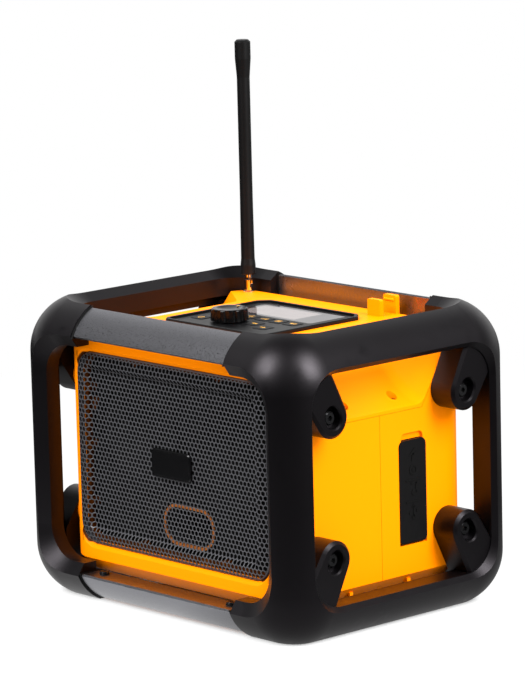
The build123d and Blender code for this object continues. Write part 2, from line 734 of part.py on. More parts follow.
def flap_groove():
    """Room round the socket cover's pin for its edges as it opens."""
    reach = swing_reach(flap_barrel, flap_barrel - flap_proud, flap_swing)
    return rod_y(port_y0 - flap_clearance, port_y1 + flap_clearance, flap_axis_x, flap_axis_z, reach)


def door_groove():
    """Room round the battery door's pin for its edges as it opens."""
    end = door_half_width + door_clearance
    return rod_x(-end, end, door_axis_y, door_axis_z, swing_reach(door_barrel, door_barrel, door_swing))


def make_rear_shell(outer, hollow, wedge):
    shell = (hollow & block(-far, far, seam_gap / 2, far, -far, far)) - wedge
    for sz in (1, -1):
        shell += both_sides(arm_boss(1, sz))
        shell -= both_sides(arm_boss_hole(1, sz))
    shell += both_sides(cover_boss(1))
    shell -= both_sides(rod_z(seam_z - 3 * cover_screw_length, seam_z, cover_screw_x, cover_screw_y,
                              cover_screw_radius))
    shell += both_sides(lug(1))
    # window for the socket cover, with the finger notch above it
    span = (port_y0, port_y1, port_z0, port_z1, port_corner)
    window = side_slab(yz_outline(*span, grow=flap_clearance), housing_x - wall - 1, housing_x + 5)
    notch = yz_outline(port_y0 + notch_margin, port_y1 - notch_margin, port_z1 - 2 * notch_height,
                       port_z1 + notch_height, port_corner - 1)
    shell -= window + side_slab(notch, housing_x - notch_depth, housing_x + 5)
    shell -= flap_groove()
    shell -= rod_y(port_y0 - flap_pin_reach, port_y1 + flap_pin_reach, flap_axis_x, flap_axis_z,
                   flap_pin_radius)
    # window for the battery door, with its finger notch
    door = xz_outline(2 * door_half_width, door_z1 - door_z0, bay_z, door_corner, door_clearance)
    shell -= back_slab(door, rear_y + 5, rear_y - wall - 1)
    shell -= door_groove()
    shell -= rod_x(-door_half_width - door_pin_reach, door_half_width + door_pin_reach, door_axis_y,
                   door_axis_z, door_pin_radius)
    notch = xz_outline(door_notch_width, 2 * door_notch_height, door_z1, door_notch_height - 1)
    shell -= back_slab(notch, rear_y + 5, rear_y - door_notch_depth)
    for x, z in shell_screws:
        shell += both_sides(rod_y(seam_gap / 2, rear_y, x, z, shell_boss_radius) & outer)
        shell -= both_sides(rod_y(0, rear_y, x, z, shell_screw_radius + 0.2))
        shell -= both_sides(rod_y(rear_y - shell_screw_recess_depth, rear_y + 1, x, z,
                                  shell_screw_recess / 2))
    save(shell, "rear_shell")


def make_tubs():
    """Separate mouldings behind the shell's two windows: the socket well and the battery bay."""
    span = (port_y0, port_y1, port_z0, port_z1, port_corner)
    face = housing_x - wall
    well = side_slab(yz_outline(*span, grow=well_wall), well_x - wall, face)
    hollow = yz_outline(port_y0 + well_margin, port_y1 - well_margin, port_z0 + well_margin,
                        port_z1 - well_margin, well_corner)
    well -= side_slab(hollow, well_x, face + 1)
    well -= flap_groove()
    through = (well_x - wall - 1, well_x + 1)
    well -= rod_x(*through, socket_y, dc_z, dc_radius + socket_fit)
    well -= rod_x(*through, socket_y, aux_z, aux_radius + socket_fit)
    well -= usb_block(*through, socket_fit + usb_wall)
    save(well, "socket_tub")
    face = rear_y - wall
    low = rear_y - bay_depth
    seat = xz_outline(2 * door_half_width, door_z1 - door_z0, bay_z, door_corner, bay_wall + door_clearance)
    bay = back_slab(seat, face, face - bay_flange)
    bay += back_slab(xz_outline(bay_width, bay_height, bay_z, bay_wall, bay_wall), face - bay_flange / 2, low)
    bay -= back_slab(xz_outline(bay_width, bay_height, bay_z, bay_wall), face + 1, low + bay_wall)
    bay -= door_groove()
    save(bay, "battery_tub")


def usb_block(x0, x1, grow):
    return block(x0, x1, socket_y - usb_width / 2 - grow, socket_y + usb_width / 2 + grow,
                 usb_z - usb_height / 2 - grow, usb_z + usb_height / 2 + grow)


def panel_outline(grow):
    """Outline of the control panel, with cut corners."""
    w, rear, front = panel_half_width + grow, panel_rear_y + grow, panel_front_y - grow
    c, f = panel_corner + grow * (2 - sqrt(2)), panel_front_corner + grow * (2 - sqrt(2))
    points = [(-w, front + f), (-w, rear - c), (-w + c, rear), (w - c, rear), (w, rear - c),
              (w, front + f), (w - f, front), (-w + f, front)]
    face = make_face(Polyline(*points, close=True))
    return fillet(face.vertices(), panel_round)


def clip_plates():
    """Two plates with snap beads that hold the folded aerial."""
    front, rear, top = aerial_y - clip_gap / 2, aerial_y + clip_gap / 2, deck_z + clip_height
    plates = []
    for y, side, z0, z1 in ((front, -1, deck_z - 1, top - clip_step), (rear, 1, deck_z - 5, top)):
        plate = block(clip_x0, clip_x1, y, y + side * clip_plate, z0, z1)
        plate = fillet(plate.edges().filter_by(Axis.Y).group_by(Axis.Z)[-1], clip_round)
        bead = rod_x(clip_x0 + clip_round, clip_x1 - clip_round, y, top - clip_step - 2 * clip_bead,
                     clip_bead)
        plates.append(plate + bead)
    return plates[0] + plates[1]


def make_top_cover(outer, hollow, wedge):
    cover = hollow & wedge
    above = outer & wedge
    for sy in (1, -1):
        cover += both_sides(scoop(sy, cover_cup_wall)) & above
    for sy in (1, -1):
        cover -= both_sides(scoop(sy, 0))
        cover -= both_sides(rod_z(seam_z - 1, deck_z, cover_screw_x, sy * cover_screw_y,
                                  cover_screw_radius + 0.2))
    cover -= Pos(0, 0, deck_z - 2 * wall) * extrude(panel_outline(-panel_lip), 4 * wall)
    cover += clip_plates()
    cover -= rod_z(deck_z - 3 * wall, deck_z + 1, aerial_x, aerial_y, swivel_radius + swivel_clearance)
    for x, y in main_board_posts():
        cover += rod_z(main_board_z + board, deck_z - wall / 2, x, y, post_outer)
        cover -= rod_z(main_board_z, main_board_z + board_screw_length + 2, x, y, post_bore)
    save(cover, "top_cover")


def main_board_posts():
    return [(sx * main_board_post_x, main_board_y + sy * main_board_post_y)
            for sx in (1, -1) for sy in (1, -1)]


def make_housing():
    outer, inner = housing_form(0), housing_form(wall)
    hollow = outer - inner
    wedge, clear = cover_wedge(0), cover_wedge(seam_gap)
    make_front_shell(outer, hollow, clear)
    make_rear_shell(outer, hollow, clear)
    make_top_cover(outer, hollow, wedge)


def socket_head(shape, place, across, depth):
    """Cut a hexagonal socket into a screw's head."""
    return shape - place * extrude(RegularPolygon(across / 2, 6), -depth)


def make_housing_screws():
    floor = shoulder_foot_z + cover_scoop_floor
    head = rod_z(floor, floor + cover_screw_head_height, cover_screw_x, cover_screw_y, cover_screw_head / 2)
    shank = rod_z(floor - cover_screw_length, floor + 0.5, cover_screw_x, cover_screw_y, cover_screw_radius)
    top = Pos(cover_screw_x, cover_screw_y, floor + cover_screw_head_height)
    screw = socket_head(head + shank, top, cover_screw_head / 2, 1.6)
    right = [screw, mirror_y(screw)]
    save(group(right + [mirror_x(s) for s in right]), "cover_screws")
    screws = []
    for x, z in shell_screws:
        seat = rear_y - shell_screw_recess_depth
        one = rod_y(seat, seat + shell_screw_head_height, x, z, shell_screw_head / 2)
        one += rod_y(-shell_screw_length + 6, seat + 0.5, x, z, shell_screw_radius)
        face = Pos(x, seat + shell_screw_head_height, z) * Rot(-90, 0, 0)
        one = socket_head(one, face, shell_screw_head / 2, 1.8)
        screws += [one, mirror_x(one)]
    save(group(screws), "shell_screws")


# ---------- loudspeaker grille ----------
def make_grille():
    side_y = ridge_front_y + grille_roll_depth
    mid_y, mid_inset = ridge_front_y + grille_roll_depth / 3, grille_roll_width / 3.4
    low, s = grille_clearance, grille_sheet
    form = grille_ring(low, side_y, low, seat_y)
    form += grille_ring(mid_inset, mid_y, low, side_y)
    form += grille_ring(grille_roll_width, ridge_front_y, mid_inset, mid_y)
    void = grille_ring(low + s, side_y, low + s, seat_y + 1)
    void += grille_ring(mid_inset + s * 0.7, mid_y + s, low + s, side_y)
    void += grille_ring(grille_roll_width, ridge_front_y + s, mid_inset + s * 0.7, mid_y + s)
    ridge = grille_roll_width + grille_ridge
    dish = grille_ring(ridge - 1, ridge_front_y - 1, field_inset, field_y)
    plug = grille_ring(ridge - 1 - s, ridge_front_y - 1 + s * 0.4, field_inset - s * 0.6, field_y + s)
    sheet = form - dish - (void - plug)
    width, height = grille_width - 2 * field_inset, grille_height - 2 * field_inset
    rise = grille_pitch * sqrt(3) / 2
    columns, rows = int((width - grille_hole) / grille_pitch), int((height - grille_hole) / rise)
    holes = []
    for row in range(rows + 1):
        shift = (row % 2) / 2
        for column in range(columns + 1 - row % 2):
            x = (column + shift - columns / 2) * grille_pitch
            z = grille_z + (row - rows / 2) * rise
            holes.append(Pos(x, z) * RegularPolygon(grille_hole / 2, 6, major_radius=False, rotation=30))
    sheet -= back_slab(Sketch() + holes, field_y + s + 0.5, field_y - 0.5)
    save(sheet, "speaker_grille")
    badge = back_slab(xz_outline(badge_width, badge_height, badge_z, badge_radius), field_y,
                      field_y - badge_thickness)
    badge = chamfer(badge.faces().sort_by(Axis.Y)[0].edges(), badge_thickness / 3)
    save(badge, "badge_plate")


def make_baffle():
    plate = back_slab(xz_outline(baffle_width, baffle_height, grille_z, grille_radius),
                      baffle_y + baffle_thickness,
                      baffle_y)
    for sx in (1, -1):
        plate -= rod_y(baffle_y - 1, baffle_y + baffle_thickness + 1, sx * speaker_x, speaker_z, speaker_hole)
        for x, z in shell_screws:
            plate -= rod_y(baffle_y - 1, baffle_y + baffle_thickness + 1, sx * x, z,
                           shell_boss_radius + boss_clearance)
    slot = xz_outline(duct_width, duct_height, duct_z, duct_corner, 0, duct_x)
    tube = xz_outline(duct_width, duct_height, duct_z, duct_corner, duct_wall, duct_x)
    hole = xz_outline(duct_width, duct_height, duct_z, duct_corner, duct_wall + duct_clearance, duct_x)
    plate -= back_slab(hole, baffle_y + baffle_thickness + 1, baffle_y - 1)
    save(plate, "speaker_baffle")
    duct = back_slab(tube, baffle_y + duct_length, baffle_y - duct_proud)
    duct -= back_slab(slot, baffle_y + duct_length + 1, baffle_y - duct_proud - 1)
    save(duct, "bass_duct")


def turned(points, x, z):
    """Solid turned about an axis along Y from (radius, Y) points."""
    profile = make_face(Polyline(*points, close=True))
    solid = revolve(Plane(origin=(0, 0, 0), x_dir=(1, 0, 0), z_dir=(0, 0, 1)) * profile, Axis.Y)
    return Pos(x, 0, z) * solid


def make_speakers():
    face = baffle_y - speaker_flange
    back = baffle_y + speaker_depth
    basket = [(speaker_cone + 1, face), (speaker_radius, face), (speaker_radius, baffle_y),
              (speaker_hole - 0.5, baffle_y), (speaker_throat, back), (magnet_radius, back),
              (magnet_radius, back + magnet_height), (0, back + magnet_height), (0, back - 2),
              (speaker_throat - 4, back - 2), (speaker_cone - 2, baffle_y - 0.3),
              (speaker_cone + 1, baffle_y - 0.3)]
    cone = [(0, baffle_y + 10), (8, baffle_y + 11.5), (11, baffle_y + 13.5),
            (speaker_cone - 6, baffle_y - 0.5), (speaker_cone - 3, face + 0.6),
            (speaker_cone + 0.7, baffle_y - 1.6), (speaker_cone + 0.7, baffle_y - 0.5),
            (speaker_cone - 3, baffle_y - 0.6), (speaker_cone - 6, baffle_y + 1.6), (11, baffle_y + 16),
            (0, baffle_y + 16)]
    for side, name in ((-1, "left"), (1, "right")):
        save(turned(basket, side * speaker_x, speaker_z), "speaker_" + name)
        save(turned(cone, side * speaker_x, speaker_z), "speaker_cone_" + name)


# ---------- control panel ----------
def key_outline(grow):
    return RectangleRounded(key_width + 2 * grow, key_depth + 2 * grow, key_corner + grow)


def make_panel():
    frame = Pos(0, 0, deck_z) * extrude(panel_outline(0), rim_height)
    frame = chamfer(frame.faces().sort_by(Axis.Z)[-1].edges(), rim_bevel)
    frame += Pos(0, 0, control_z) * extrude(panel_outline(-panel_lip - panel_clearance), panel_skirt + 0.5)
    inner = panel_outline(-rim_width - panel_skirt_wall)
    frame -= Pos(0, 0, control_z - 1) * extrude(inner, plate_z - control_z + 1)
    frame -= Pos(0, 0, panel_z) * extrude(panel_outline(-rim_width), rim_height)
    wide, deep = window_x1 - window_x0, window_y1 - window_y0
    spot = Pos((window_x0 + window_x1) / 2, (window_y0 + window_y1) / 2, panel_z - window_glass)
    pane = extrude(RectangleRounded(wide, deep, window_corner), window_glass)
    frame -= spot * extrude(RectangleRounded(wide + 2 * window_clearance, deep + 2 * window_clearance,
                                             window_corner + window_clearance), window_glass + 1)
    grow = display_frame + window_clearance
    frame -= block(display_x0 - grow, display_x1 + grow, display_y0 - grow, display_y1 + grow,
                   plate_z - 1, panel_z)
    for x, y in key_spots.values():
        frame -= Pos(x, y, plate_z - 1) * extrude(key_outline(key_clearance), panel_plate + 2)
    frame -= rod_z(plate_z - 1, panel_z + 1, knob_x, knob_y, bushing_radius + panel_clearance / 2)
    save(frame, "panel_frame")
    save(spot * pane, "display_window")
    module = block(display_x0 - display_frame, display_x1 + display_frame, display_y0 - display_frame,
                   display_y1 + display_frame, control_z, panel_z - window_glass)
    module -= block(display_x0, display_x1, display_y0, display_y1, panel_z - window_glass - 0.5, panel_z)
    save(module, "display_module")


def make_keys():
    low = plate_z - key_flange_gap - key_flange
    key = Pos(0, 0, low) * extrude(key_outline(0), panel_z + key_proud - low)
    key = chamfer(key.faces().sort_by(Axis.Z)[-1].edges(), 0.4)
    key += Pos(0, 0, low) * extrude(key_outline(key_flange_width), key_flange)
    for name, (x, y) in key_spots.items():
        save(Pos(x, y, 0) * key, name)
    top = low - key_travel - switch_play
    switches = []
    for x, y in key_spots.values():
        body = block(x - switch_size / 2, x + switch_size / 2, y - switch_size / 2, y + switch_size / 2,
                     control_z, top - 0.6)
        switches.append(body + rod_z(control_z, top, x, y, switch_size / 3.5))
    save(group(switches), "key_switches")


def make_knob():
    base = panel_z + knob_lift
    top = base + knob_height
    knob = Pos(knob_x, knob_y, base) * extrude(Circle(knob_radius), knob_height,
                                               taper=45 * knob_taper / knob_height)
    knob = fillet(knob.faces().sort_by(Axis.Z)[-1].edges(), knob_round)
    sag = (knob_dish_radius ** 2 + knob_dish ** 2) / (2 * knob_dish)
    knob -= Pos(knob_x, knob_y, top - knob_dish + sag) * Sphere(sag)
    for i in range(knob_flutes):
        turn = Rot(0, 0, 360 * i / knob_flutes)
        knob -= Pos(knob_x, knob_y, 0) * turn * rod_z(
            base - 1, top + 1, knob_radius + knob_flute_radius - knob_flute_depth, 0, knob_flute_radius)
    shaft_top = top - knob_dish - knob_cap
    knob -= rod_z(base - 1, shaft_top, knob_x, knob_y, shaft_radius)
    save(knob, "volume_knob")
    low = control_z + plunger_seat + knob_travel
    save(rod_z(low + plunger_height, shaft_top, knob_x, knob_y, shaft_radius), "encoder_shaft")
    save(rod_z(low, low + plunger_height, knob_x, knob_y, shaft_radius), "encoder_plunger")
    body = Pos(knob_x, knob_y, 0) * block(-encoder_size / 2, encoder_size / 2, -encoder_size / 2,
                                          encoder_size / 2, control_z, plate_z)
    body += rod_z(plate_z - 1, panel_z - bushing_sink, knob_x, knob_y, bushing_radius)
    body -= rod_z(control_z + plunger_seat, panel_z, knob_x, knob_y, shaft_radius + shaft_fit)
    save(body, "encoder_body")


def make_boards():
    plate = Pos(0, 0, control_z - board) * extrude(panel_outline(-panel_lip - panel_clearance), board)
    save(plate, "control_board")
    low = main_board_z
    main = Pos(0, main_board_y, low) * block(-main_board_width / 2, main_board_width / 2, -main_board_depth / 2,
                                             main_board_depth / 2, 0, board)
    for x, y in main_board_posts():
        main -= rod_z(low - 1, low + board + 1, x, y, post_bore + 0.2)
    save(main, "main_board")
    sink = Pos(0, main_board_y, 0) * block(-sink_width / 2, sink_width / 2, -sink_depth / 2, sink_depth / 2,
                                           low - sink_height, low)
    gap = sink_width / (2 * sink_fins - 1)
    for i in range(sink_fins - 1):
        x = -sink_width / 2 + (2 * i + 1) * gap
        sink -= Pos(0, main_board_y, 0) * block(x, x + gap, -sink_depth, sink_depth,
                                                low - sink_height - 1, low - 3)
    save(sink, "heat_sink")
    screws = []
    for x, y in main_board_posts():
        screws.append(rod_z(low - board_screw_head_height, low, x, y, board_screw_head / 2) +
                      rod_z(low - 0.5, low + board_screw_length, x, y, post_bore))
    save(group(screws), "board_screws")


# ---------- aerial ----------
def make_aerial():
    base = rod_z(deck_z, deck_z + collar_height, aerial_x, aerial_y, collar_radius)
    base = chamfer(base.edges().group_by(Axis.Z)[-1], 0.5)
    base += rod_z(deck_z - swivel_stem, pivot_z + cheek_top, aerial_x, aerial_y, swivel_radius)
    slot = knuckle_width / 2 + fork_gap
    base -= block(aerial_x - far, aerial_x + far, aerial_y - slot, aerial_y + slot,
                  pivot_z - slot_floor, far * 2)
    base -= rod_y(aerial_y - far / 4, aerial_y + far / 4, aerial_x, pivot_z, pin_radius)
    save(base, "aerial_base")
    reach = swivel_radius
    save(rod_y(aerial_y - reach, aerial_y + reach, aerial_x, pivot_z, pin_radius) &
         rod_z(pivot_z - 5, pivot_z + 5, aerial_x, aerial_y, swivel_radius), "aerial_pin")
    nut = Pos(aerial_x, aerial_y, deck_z - wall - aerial_nut_height) * extrude(
        RegularPolygon(aerial_nut_radius, 6), aerial_nut_height)
    nut -= rod_z(deck_z - 5 * wall, deck_z, aerial_x, aerial_y, swivel_radius)
    save(nut, "aerial_nut")
    half = knuckle_width / 2
    start = pivot_z + whip_start
    knuckle = rod_y(aerial_y - half, aerial_y + half, aerial_x, pivot_z, knuckle_tail)
    knuckle += block(aerial_x - knuckle_tail, aerial_x + knuckle_tail, aerial_y - half, aerial_y + half,
                     pivot_z, pivot_z + neck_start + 0.5)
    knuckle += rod_z(pivot_z + neck_start, start + neck_sink, aerial_x, aerial_y, neck_radius)
    knuckle -= rod_y(aerial_y - half - 1, aerial_y + half + 1, aerial_x, pivot_z, pin_radius + hinge_fit)
    save(knuckle, "aerial_knuckle")
    end = start + whip_length
    points = [(0, start), (whip_root_radius - 0.6, start), (whip_root_radius, start + 0.8),
              (whip_root_radius, start + whip_root_length * 0.6), (whip_neck_radius + 0.3, start + whip_root_length),
              (whip_neck_radius, start + whip_length / 3), (whip_neck_radius, end - 2 * whip_tip_length),
              (whip_tip_radius, end - whip_tip_length), (whip_tip_radius, end - 1.5), (whip_tip_radius - 1.5, end),
              (0, end)]
    whip = revolve(Plane.XZ * make_face(Polyline(*points, close=True)), Axis.Z)
    whip = Pos(aerial_x, aerial_y, 0) * whip
    whip -= rod_z(start - 1, start + neck_sink, aerial_x, aerial_y, neck_radius)
    save(whip, "aerial_whip")


# ---------- socket cover ----------
def make_port():
    span = (port_y0, port_y1, port_z0, port_z1, port_corner)
    face = housing_x + flap_proud
    full = side_slab(yz_outline(*span), face - 3 * flap_barrel, face)
    plate = side_slab(yz_outline(*span), face - flap_thickness, face) & \
        block(0, far, -far, far, flap_axis_z, far)
    barrel = rod_y(port_y0, port_y1, flap_axis_x, flap_axis_z, flap_barrel) & full
    flap = plate + barrel
    flap -= rod_y(port_y0 - 5, port_y1 + 5, flap_axis_x, flap_axis_z, flap_pin_radius + hinge_fit)
    save(flap, "socket_cover")
    save(rod_y(port_y0 - flap_pin_reach, port_y1 + flap_pin_reach, flap_axis_x, flap_axis_z, flap_pin_radius),
         "socket_cover_pin")
    low, high = well_x - socket_tail, well_x + socket_proud
    dc = rod_x(low, high, socket_y, dc_z, dc_radius)
    dc -= rod_x(low + 2, high + 1, socket_y, dc_z, dc_bore)
    dc += rod_x(low, high - 1, socket_y, dc_z, dc_pin)
    save(dc, "power_socket")
    aux = rod_x(low, high, socket_y, aux_z, aux_radius)
    aux -= rod_x(low + 1, high + 1, socket_y, aux_z, aux_bore)
    save(aux, "audio_socket")
    usb = usb_block(low, high, usb_wall)
    usb -= usb_block(low + 2, high + 1, 0)
    usb += block(low, high - 1, socket_y - usb_tongue_width / 2, socket_y + usb_tongue_width / 2,
                 usb_z + usb_height / 2 - 2 * usb_tongue_height, usb_z + usb_height / 2 - usb_tongue_height)
    save(usb, "usb_socket")
    m = socket_board_margin
    save(block(low - board, low, port_y0 + 1, port_y1 - 1, dc_z - dc_radius - m, aux_z + aux_radius + m),
         "socket_board")


# ---------- battery bay ----------
def make_battery():
    half = xz_outline(2 * door_half_width, door_z1 - door_z0, bay_z, door_corner)
    door = back_slab(half, rear_y, rear_y - door_thickness) & block(-far, far, 0, far, door_axis_z, far)
    door += rod_x(-door_half_width, door_half_width, door_axis_y, door_axis_z, door_barrel) & \
        back_slab(half, rear_y + 1, rear_y - 3 * door_barrel)
    door -= rod_x(-far / 2, far / 2, door_axis_y, door_axis_z, door_pin_radius + hinge_fit)
    save(door, "battery_door")
    save(rod_x(-door_half_width - door_pin_reach, door_half_width + door_pin_reach, door_axis_y, door_axis_z,
               door_pin_radius), "battery_door_pin")
    c = pack_clearance
    front = rear_y - bay_depth + bay_wall
    pack = block(-bay_width / 2 + c, bay_width / 2 - c, front, rear_y - door_thickness - 2 * c,
                 bay_z - bay_height / 2 + c, bay_z + bay_height / 2 - c)
    save(fillet(pack.edges().filter_by(Axis.Y), 4.0), "battery_pack")


cage = cage_form()
make_side_frames(cage)
make_bars()
make_bar_seals()
make_bar_screws()
make_frame_screws()
make_housing()
make_tubs()
make_housing_screws()
make_grille()
make_baffle()
make_speakers()
make_panel()
make_keys()
make_knob()
make_boards()
make_aerial()
make_port()
make_battery()
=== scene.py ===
import json
import math

import bmesh
import bpy
from mathutils import Matrix, Vector


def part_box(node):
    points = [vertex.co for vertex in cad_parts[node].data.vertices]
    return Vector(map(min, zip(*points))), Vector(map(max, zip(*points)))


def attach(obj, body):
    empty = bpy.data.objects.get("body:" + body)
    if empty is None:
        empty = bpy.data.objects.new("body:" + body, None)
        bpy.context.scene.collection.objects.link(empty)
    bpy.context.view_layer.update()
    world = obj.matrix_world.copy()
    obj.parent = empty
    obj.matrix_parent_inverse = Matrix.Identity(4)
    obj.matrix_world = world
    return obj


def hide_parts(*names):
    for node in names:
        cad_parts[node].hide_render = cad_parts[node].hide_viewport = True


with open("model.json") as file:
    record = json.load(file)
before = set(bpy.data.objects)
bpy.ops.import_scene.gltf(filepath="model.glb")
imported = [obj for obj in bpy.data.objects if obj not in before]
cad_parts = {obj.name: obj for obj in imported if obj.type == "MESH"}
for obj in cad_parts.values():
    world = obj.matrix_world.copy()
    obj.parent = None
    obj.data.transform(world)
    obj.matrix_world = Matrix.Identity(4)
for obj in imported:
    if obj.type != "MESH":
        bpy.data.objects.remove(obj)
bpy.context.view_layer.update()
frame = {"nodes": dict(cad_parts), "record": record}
mm = 0.001
bodyOf = {node: body for body, group in frame["record"]["behaviour"]["bodies"].items() for node in group}


def nodeBox(name):
    low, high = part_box(name)
    return Vector(low), Vector(high)


# camera
cameraSpec = {
    "place": (2.197600, -2.013670, 0.743546),
    "turn": 47.50649, "lift": 10.67068, "roll": -1.45183,
    "lens": 214.979, "sensor": 36.0, "clip": (0.05, 50.0),
}


def makeCamera(spec):
    th, ph, ro = (math.radians(spec[k]) for k in ("turn", "lift", "roll"))
    back = Vector((math.sin(th) * math.cos(ph), -math.cos(th) * math.cos(ph), math.sin(ph)))
    right = Vector((math.cos(th), math.sin(th), 0.0))
    up = back.cross(right)
    rolledRight = math.cos(ro) * right + math.sin(ro) * up
    rolledUp = -math.sin(ro) * right + math.cos(ro) * up
    data = bpy.data.cameras.new("studioCamera")
    data.lens, data.sensor_width = spec["lens"], spec["sensor"]
    data.clip_start, data.clip_end = spec["clip"]
    camera = bpy.data.objects.new("studioCamera", data)
    bpy.context.collection.objects.link(camera)
    turn = Matrix((rolledRight, rolledUp, back)).transposed().to_4x4()
    camera.matrix_world = Matrix.Translation(spec["place"]) @ turn
    bpy.context.scene.camera = camera


makeCamera(cameraSpec)
print("camera placed")


# shader helpers
class Nodes:
    def __init__(self, tree):
        self.tree = tree

    def add(self, kind, **values):
        node = self.tree.nodes.new(kind)
        for key, value in values.items():
            setattr(node, key, value)
        return node

    def join(self, out, into):
        self.tree.links.new(out, into)

    def feed(self, value, socket):
        # a number or a colour is set on the socket, anything else is linked to it
        if isinstance(value, (int, float, tuple)):
            socket.default_value = value
        else:
            self.join(value, socket)

    def mathNode(self, operation, *values):
        node = self.add("ShaderNodeMath", operation=operation)
        for value, socket in zip(values, node.inputs):
            self.feed(value, socket)
        return node.outputs[0]

    def remap(self, value, fromLow, fromHigh, toLow=0.0, toHigh=1.0):
        node = self.add("ShaderNodeMapRange", clamp=True)
        self.feed(value, node.inputs["Value"])
        ends = {"From Min": fromLow, "From Max": fromHigh, "To Min": toLow, "To Max": toHigh}
        for title, number in ends.items():
            node.inputs[title].default_value = number
        return node.outputs["Result"]

    def coord(self, kind="Object"):
        return self.add("ShaderNodeTexCoord").outputs[kind]

    def axes(self, coord):
        parts = self.add("ShaderNodeSeparateXYZ")
        self.join(coord, parts.inputs["Vector"])
        return parts.outputs

    def noise(self, coord, scale, detail, **values):
        node = self.add("ShaderNodeTexNoise")
        for title, value in {"Vector": coord, "Scale": scale, "Detail": detail, **values}.items():
            self.feed(value, node.inputs[title])
        return node.outputs["Fac"]

    def mixColor(self, factor, first, second):
        node = self.add("ShaderNodeMix", data_type="RGBA")
        for title, value in (("Factor", factor), ("A", first), ("B", second)):
            self.feed(value, node.inputs[title])
        return node.outputs["Result"]

    def dot(self, first, second):
        node = self.add("ShaderNodeVectorMath", operation="DOT_PRODUCT")
        self.feed(first, node.inputs[0])
        self.feed(second, node.inputs[1])
        return node.outputs["Value"]

    def towards(self, coord, turn):
        # how far a point lies towards the side of the room that the turn names
        angle = math.radians(turn)
        return self.dot(coord, (math.sin(angle), -math.cos(angle), 0.0))


def newGroup(name, inputs, outputs):
    group = bpy.data.node_groups.new(name, "ShaderNodeTree")
    for title, kind, value in inputs:
        socket = group.interface.new_socket(title, in_out="INPUT", socket_type="NodeSocket" + kind)
        socket.default_value = value
    for title, kind in outputs:
        group.interface.new_socket(title, in_out="OUTPUT", socket_type="NodeSocket" + kind)
    nodes = Nodes(group)
    return group, nodes, nodes.add("NodeGroupInput").outputs, nodes.add("NodeGroupOutput").inputs


# spark-eroded grain of moulded plastic, with faint handling marks
grainSpec = {
    "grainDetail": 2.0, "cloudScale": 22.0, "cloudDetail": 4.0, "streakScale": 70.0, "streakDetail": 5.0,
    "streakTwist": 0.6, "rubbedFrom": (0.58, 0.74), "rubbedSmoother": 0.25,
}


def makeMouldGrain(spec):
    group, n, given, out = newGroup("mouldGrain", [
        ("Grain Size", "Float", 0.6), ("Unevenness", "Float", 0.5), ("Base", "Color", (0.5, 0.5, 0.5, 1)),
        ("Rubbed", "Color", (0.6, 0.6, 0.6, 1)), ("Rub Amount", "Float", 0.3)],
        [("Color", "Color"), ("Roughness Shift", "Float"), ("Height", "Float")])
    coord = n.coord()
    grain = n.noise(coord, n.mathNode("DIVIDE", 1 / mm, given["Grain Size"]), spec["grainDetail"])
    cloud = n.noise(coord, spec["cloudScale"], spec["cloudDetail"])
    streak = n.noise(coord, spec["streakScale"], spec["streakDetail"], Distortion=spec["streakTwist"])
    worn = n.mathNode("MULTIPLY", n.remap(streak, *spec["rubbedFrom"]), given["Rub Amount"])
    n.join(n.mixColor(worn, given["Base"], given["Rubbed"]), out["Color"])
    spread = n.mathNode("MULTIPLY", n.mathNode("SUBTRACT", cloud, 0.5), given["Unevenness"])
    smoother = n.mathNode("MULTIPLY", worn, spec["rubbedSmoother"])
    n.join(n.mathNode("SUBTRACT", spread, smoother), out["Roughness Shift"])
    n.join(grain, out["Height"])
    return group


# pale line along the sharp edges of a piece, broken into patches
wearSpec = {
    "samples": 4, "bend": (0.99, 0.8), "patchScale": 160.0, "patchDetail": 3.0, "patches": (0.35, 0.65),
}


def makeEdgeWear(spec):
    group, n, given, out = newGroup("edgeWear", [
        ("Base", "Color", (0.5, 0.5, 0.5, 1)), ("Worn", "Color", (0.8, 0.8, 0.8, 1)),
        ("Width", "Float", 0.0012), ("Amount", "Float", 0.5)], [("Color", "Color")])
    bevel = n.add("ShaderNodeBevel", samples=spec["samples"])
    n.join(given["Width"], bevel.inputs["Radius"])
    flat = n.dot(bevel.outputs["Normal"], n.add("ShaderNodeNewGeometry").outputs["Normal"])
    patches = n.remap(n.noise(n.coord(), spec["patchScale"], spec["patchDetail"]), *spec["patches"])
    broken = n.mathNode("MULTIPLY", n.remap(flat, *spec["bend"]), patches)
    mask = n.mathNode("MULTIPLY", broken, given["Amount"])
    n.join(n.mixColor(mask, given["Base"], given["Worn"]), out["Color"])
    return group


# fine lines along X, for drawn and extruded metal
linesSpec = {"stretch": (0.02, 1.0, 1.0), "detail": 3.0, "mask": (0.35, 0.65)}


def makeDrawnLines(spec):
    group, n, given, out = newGroup(
        "drawnLines", [("Density", "Float", 900.0)], [("Height", "Float"), ("Mask", "Float")])
    mapping = n.add("ShaderNodeMapping")
    n.feed(spec["stretch"], mapping.inputs["Scale"])
    n.join(n.coord(), mapping.inputs["Vector"])
    lines = n.noise(mapping.outputs["Vector"], given["Density"], spec["detail"])
    n.join(lines, out["Height"])
    n.join(n.remap(lines, *spec["mask"]), out["Mask"])
    return group


# even speckle of blasted and anodised metal
speckleSpec = {"detail": 4.0, "roughness": 0.7, "mask": (0.35, 0.65)}


def makeBlastedSpeckle(spec):
    group, n, given, out = newGroup(
        "blastedSpeckle", [("Speckle Size", "Float", 0.5)], [("Height", "Float"), ("Mask", "Float")])
    scale = n.mathNode("DIVIDE", 1 / mm, given["Speckle Size"])
    speckle = n.noise(n.coord(), scale, spec["detail"], Roughness=spec["roughness"])
    n.join(speckle, out["Height"])
    n.join(n.remap(speckle, *spec["mask"]), out["Mask"])
    return group


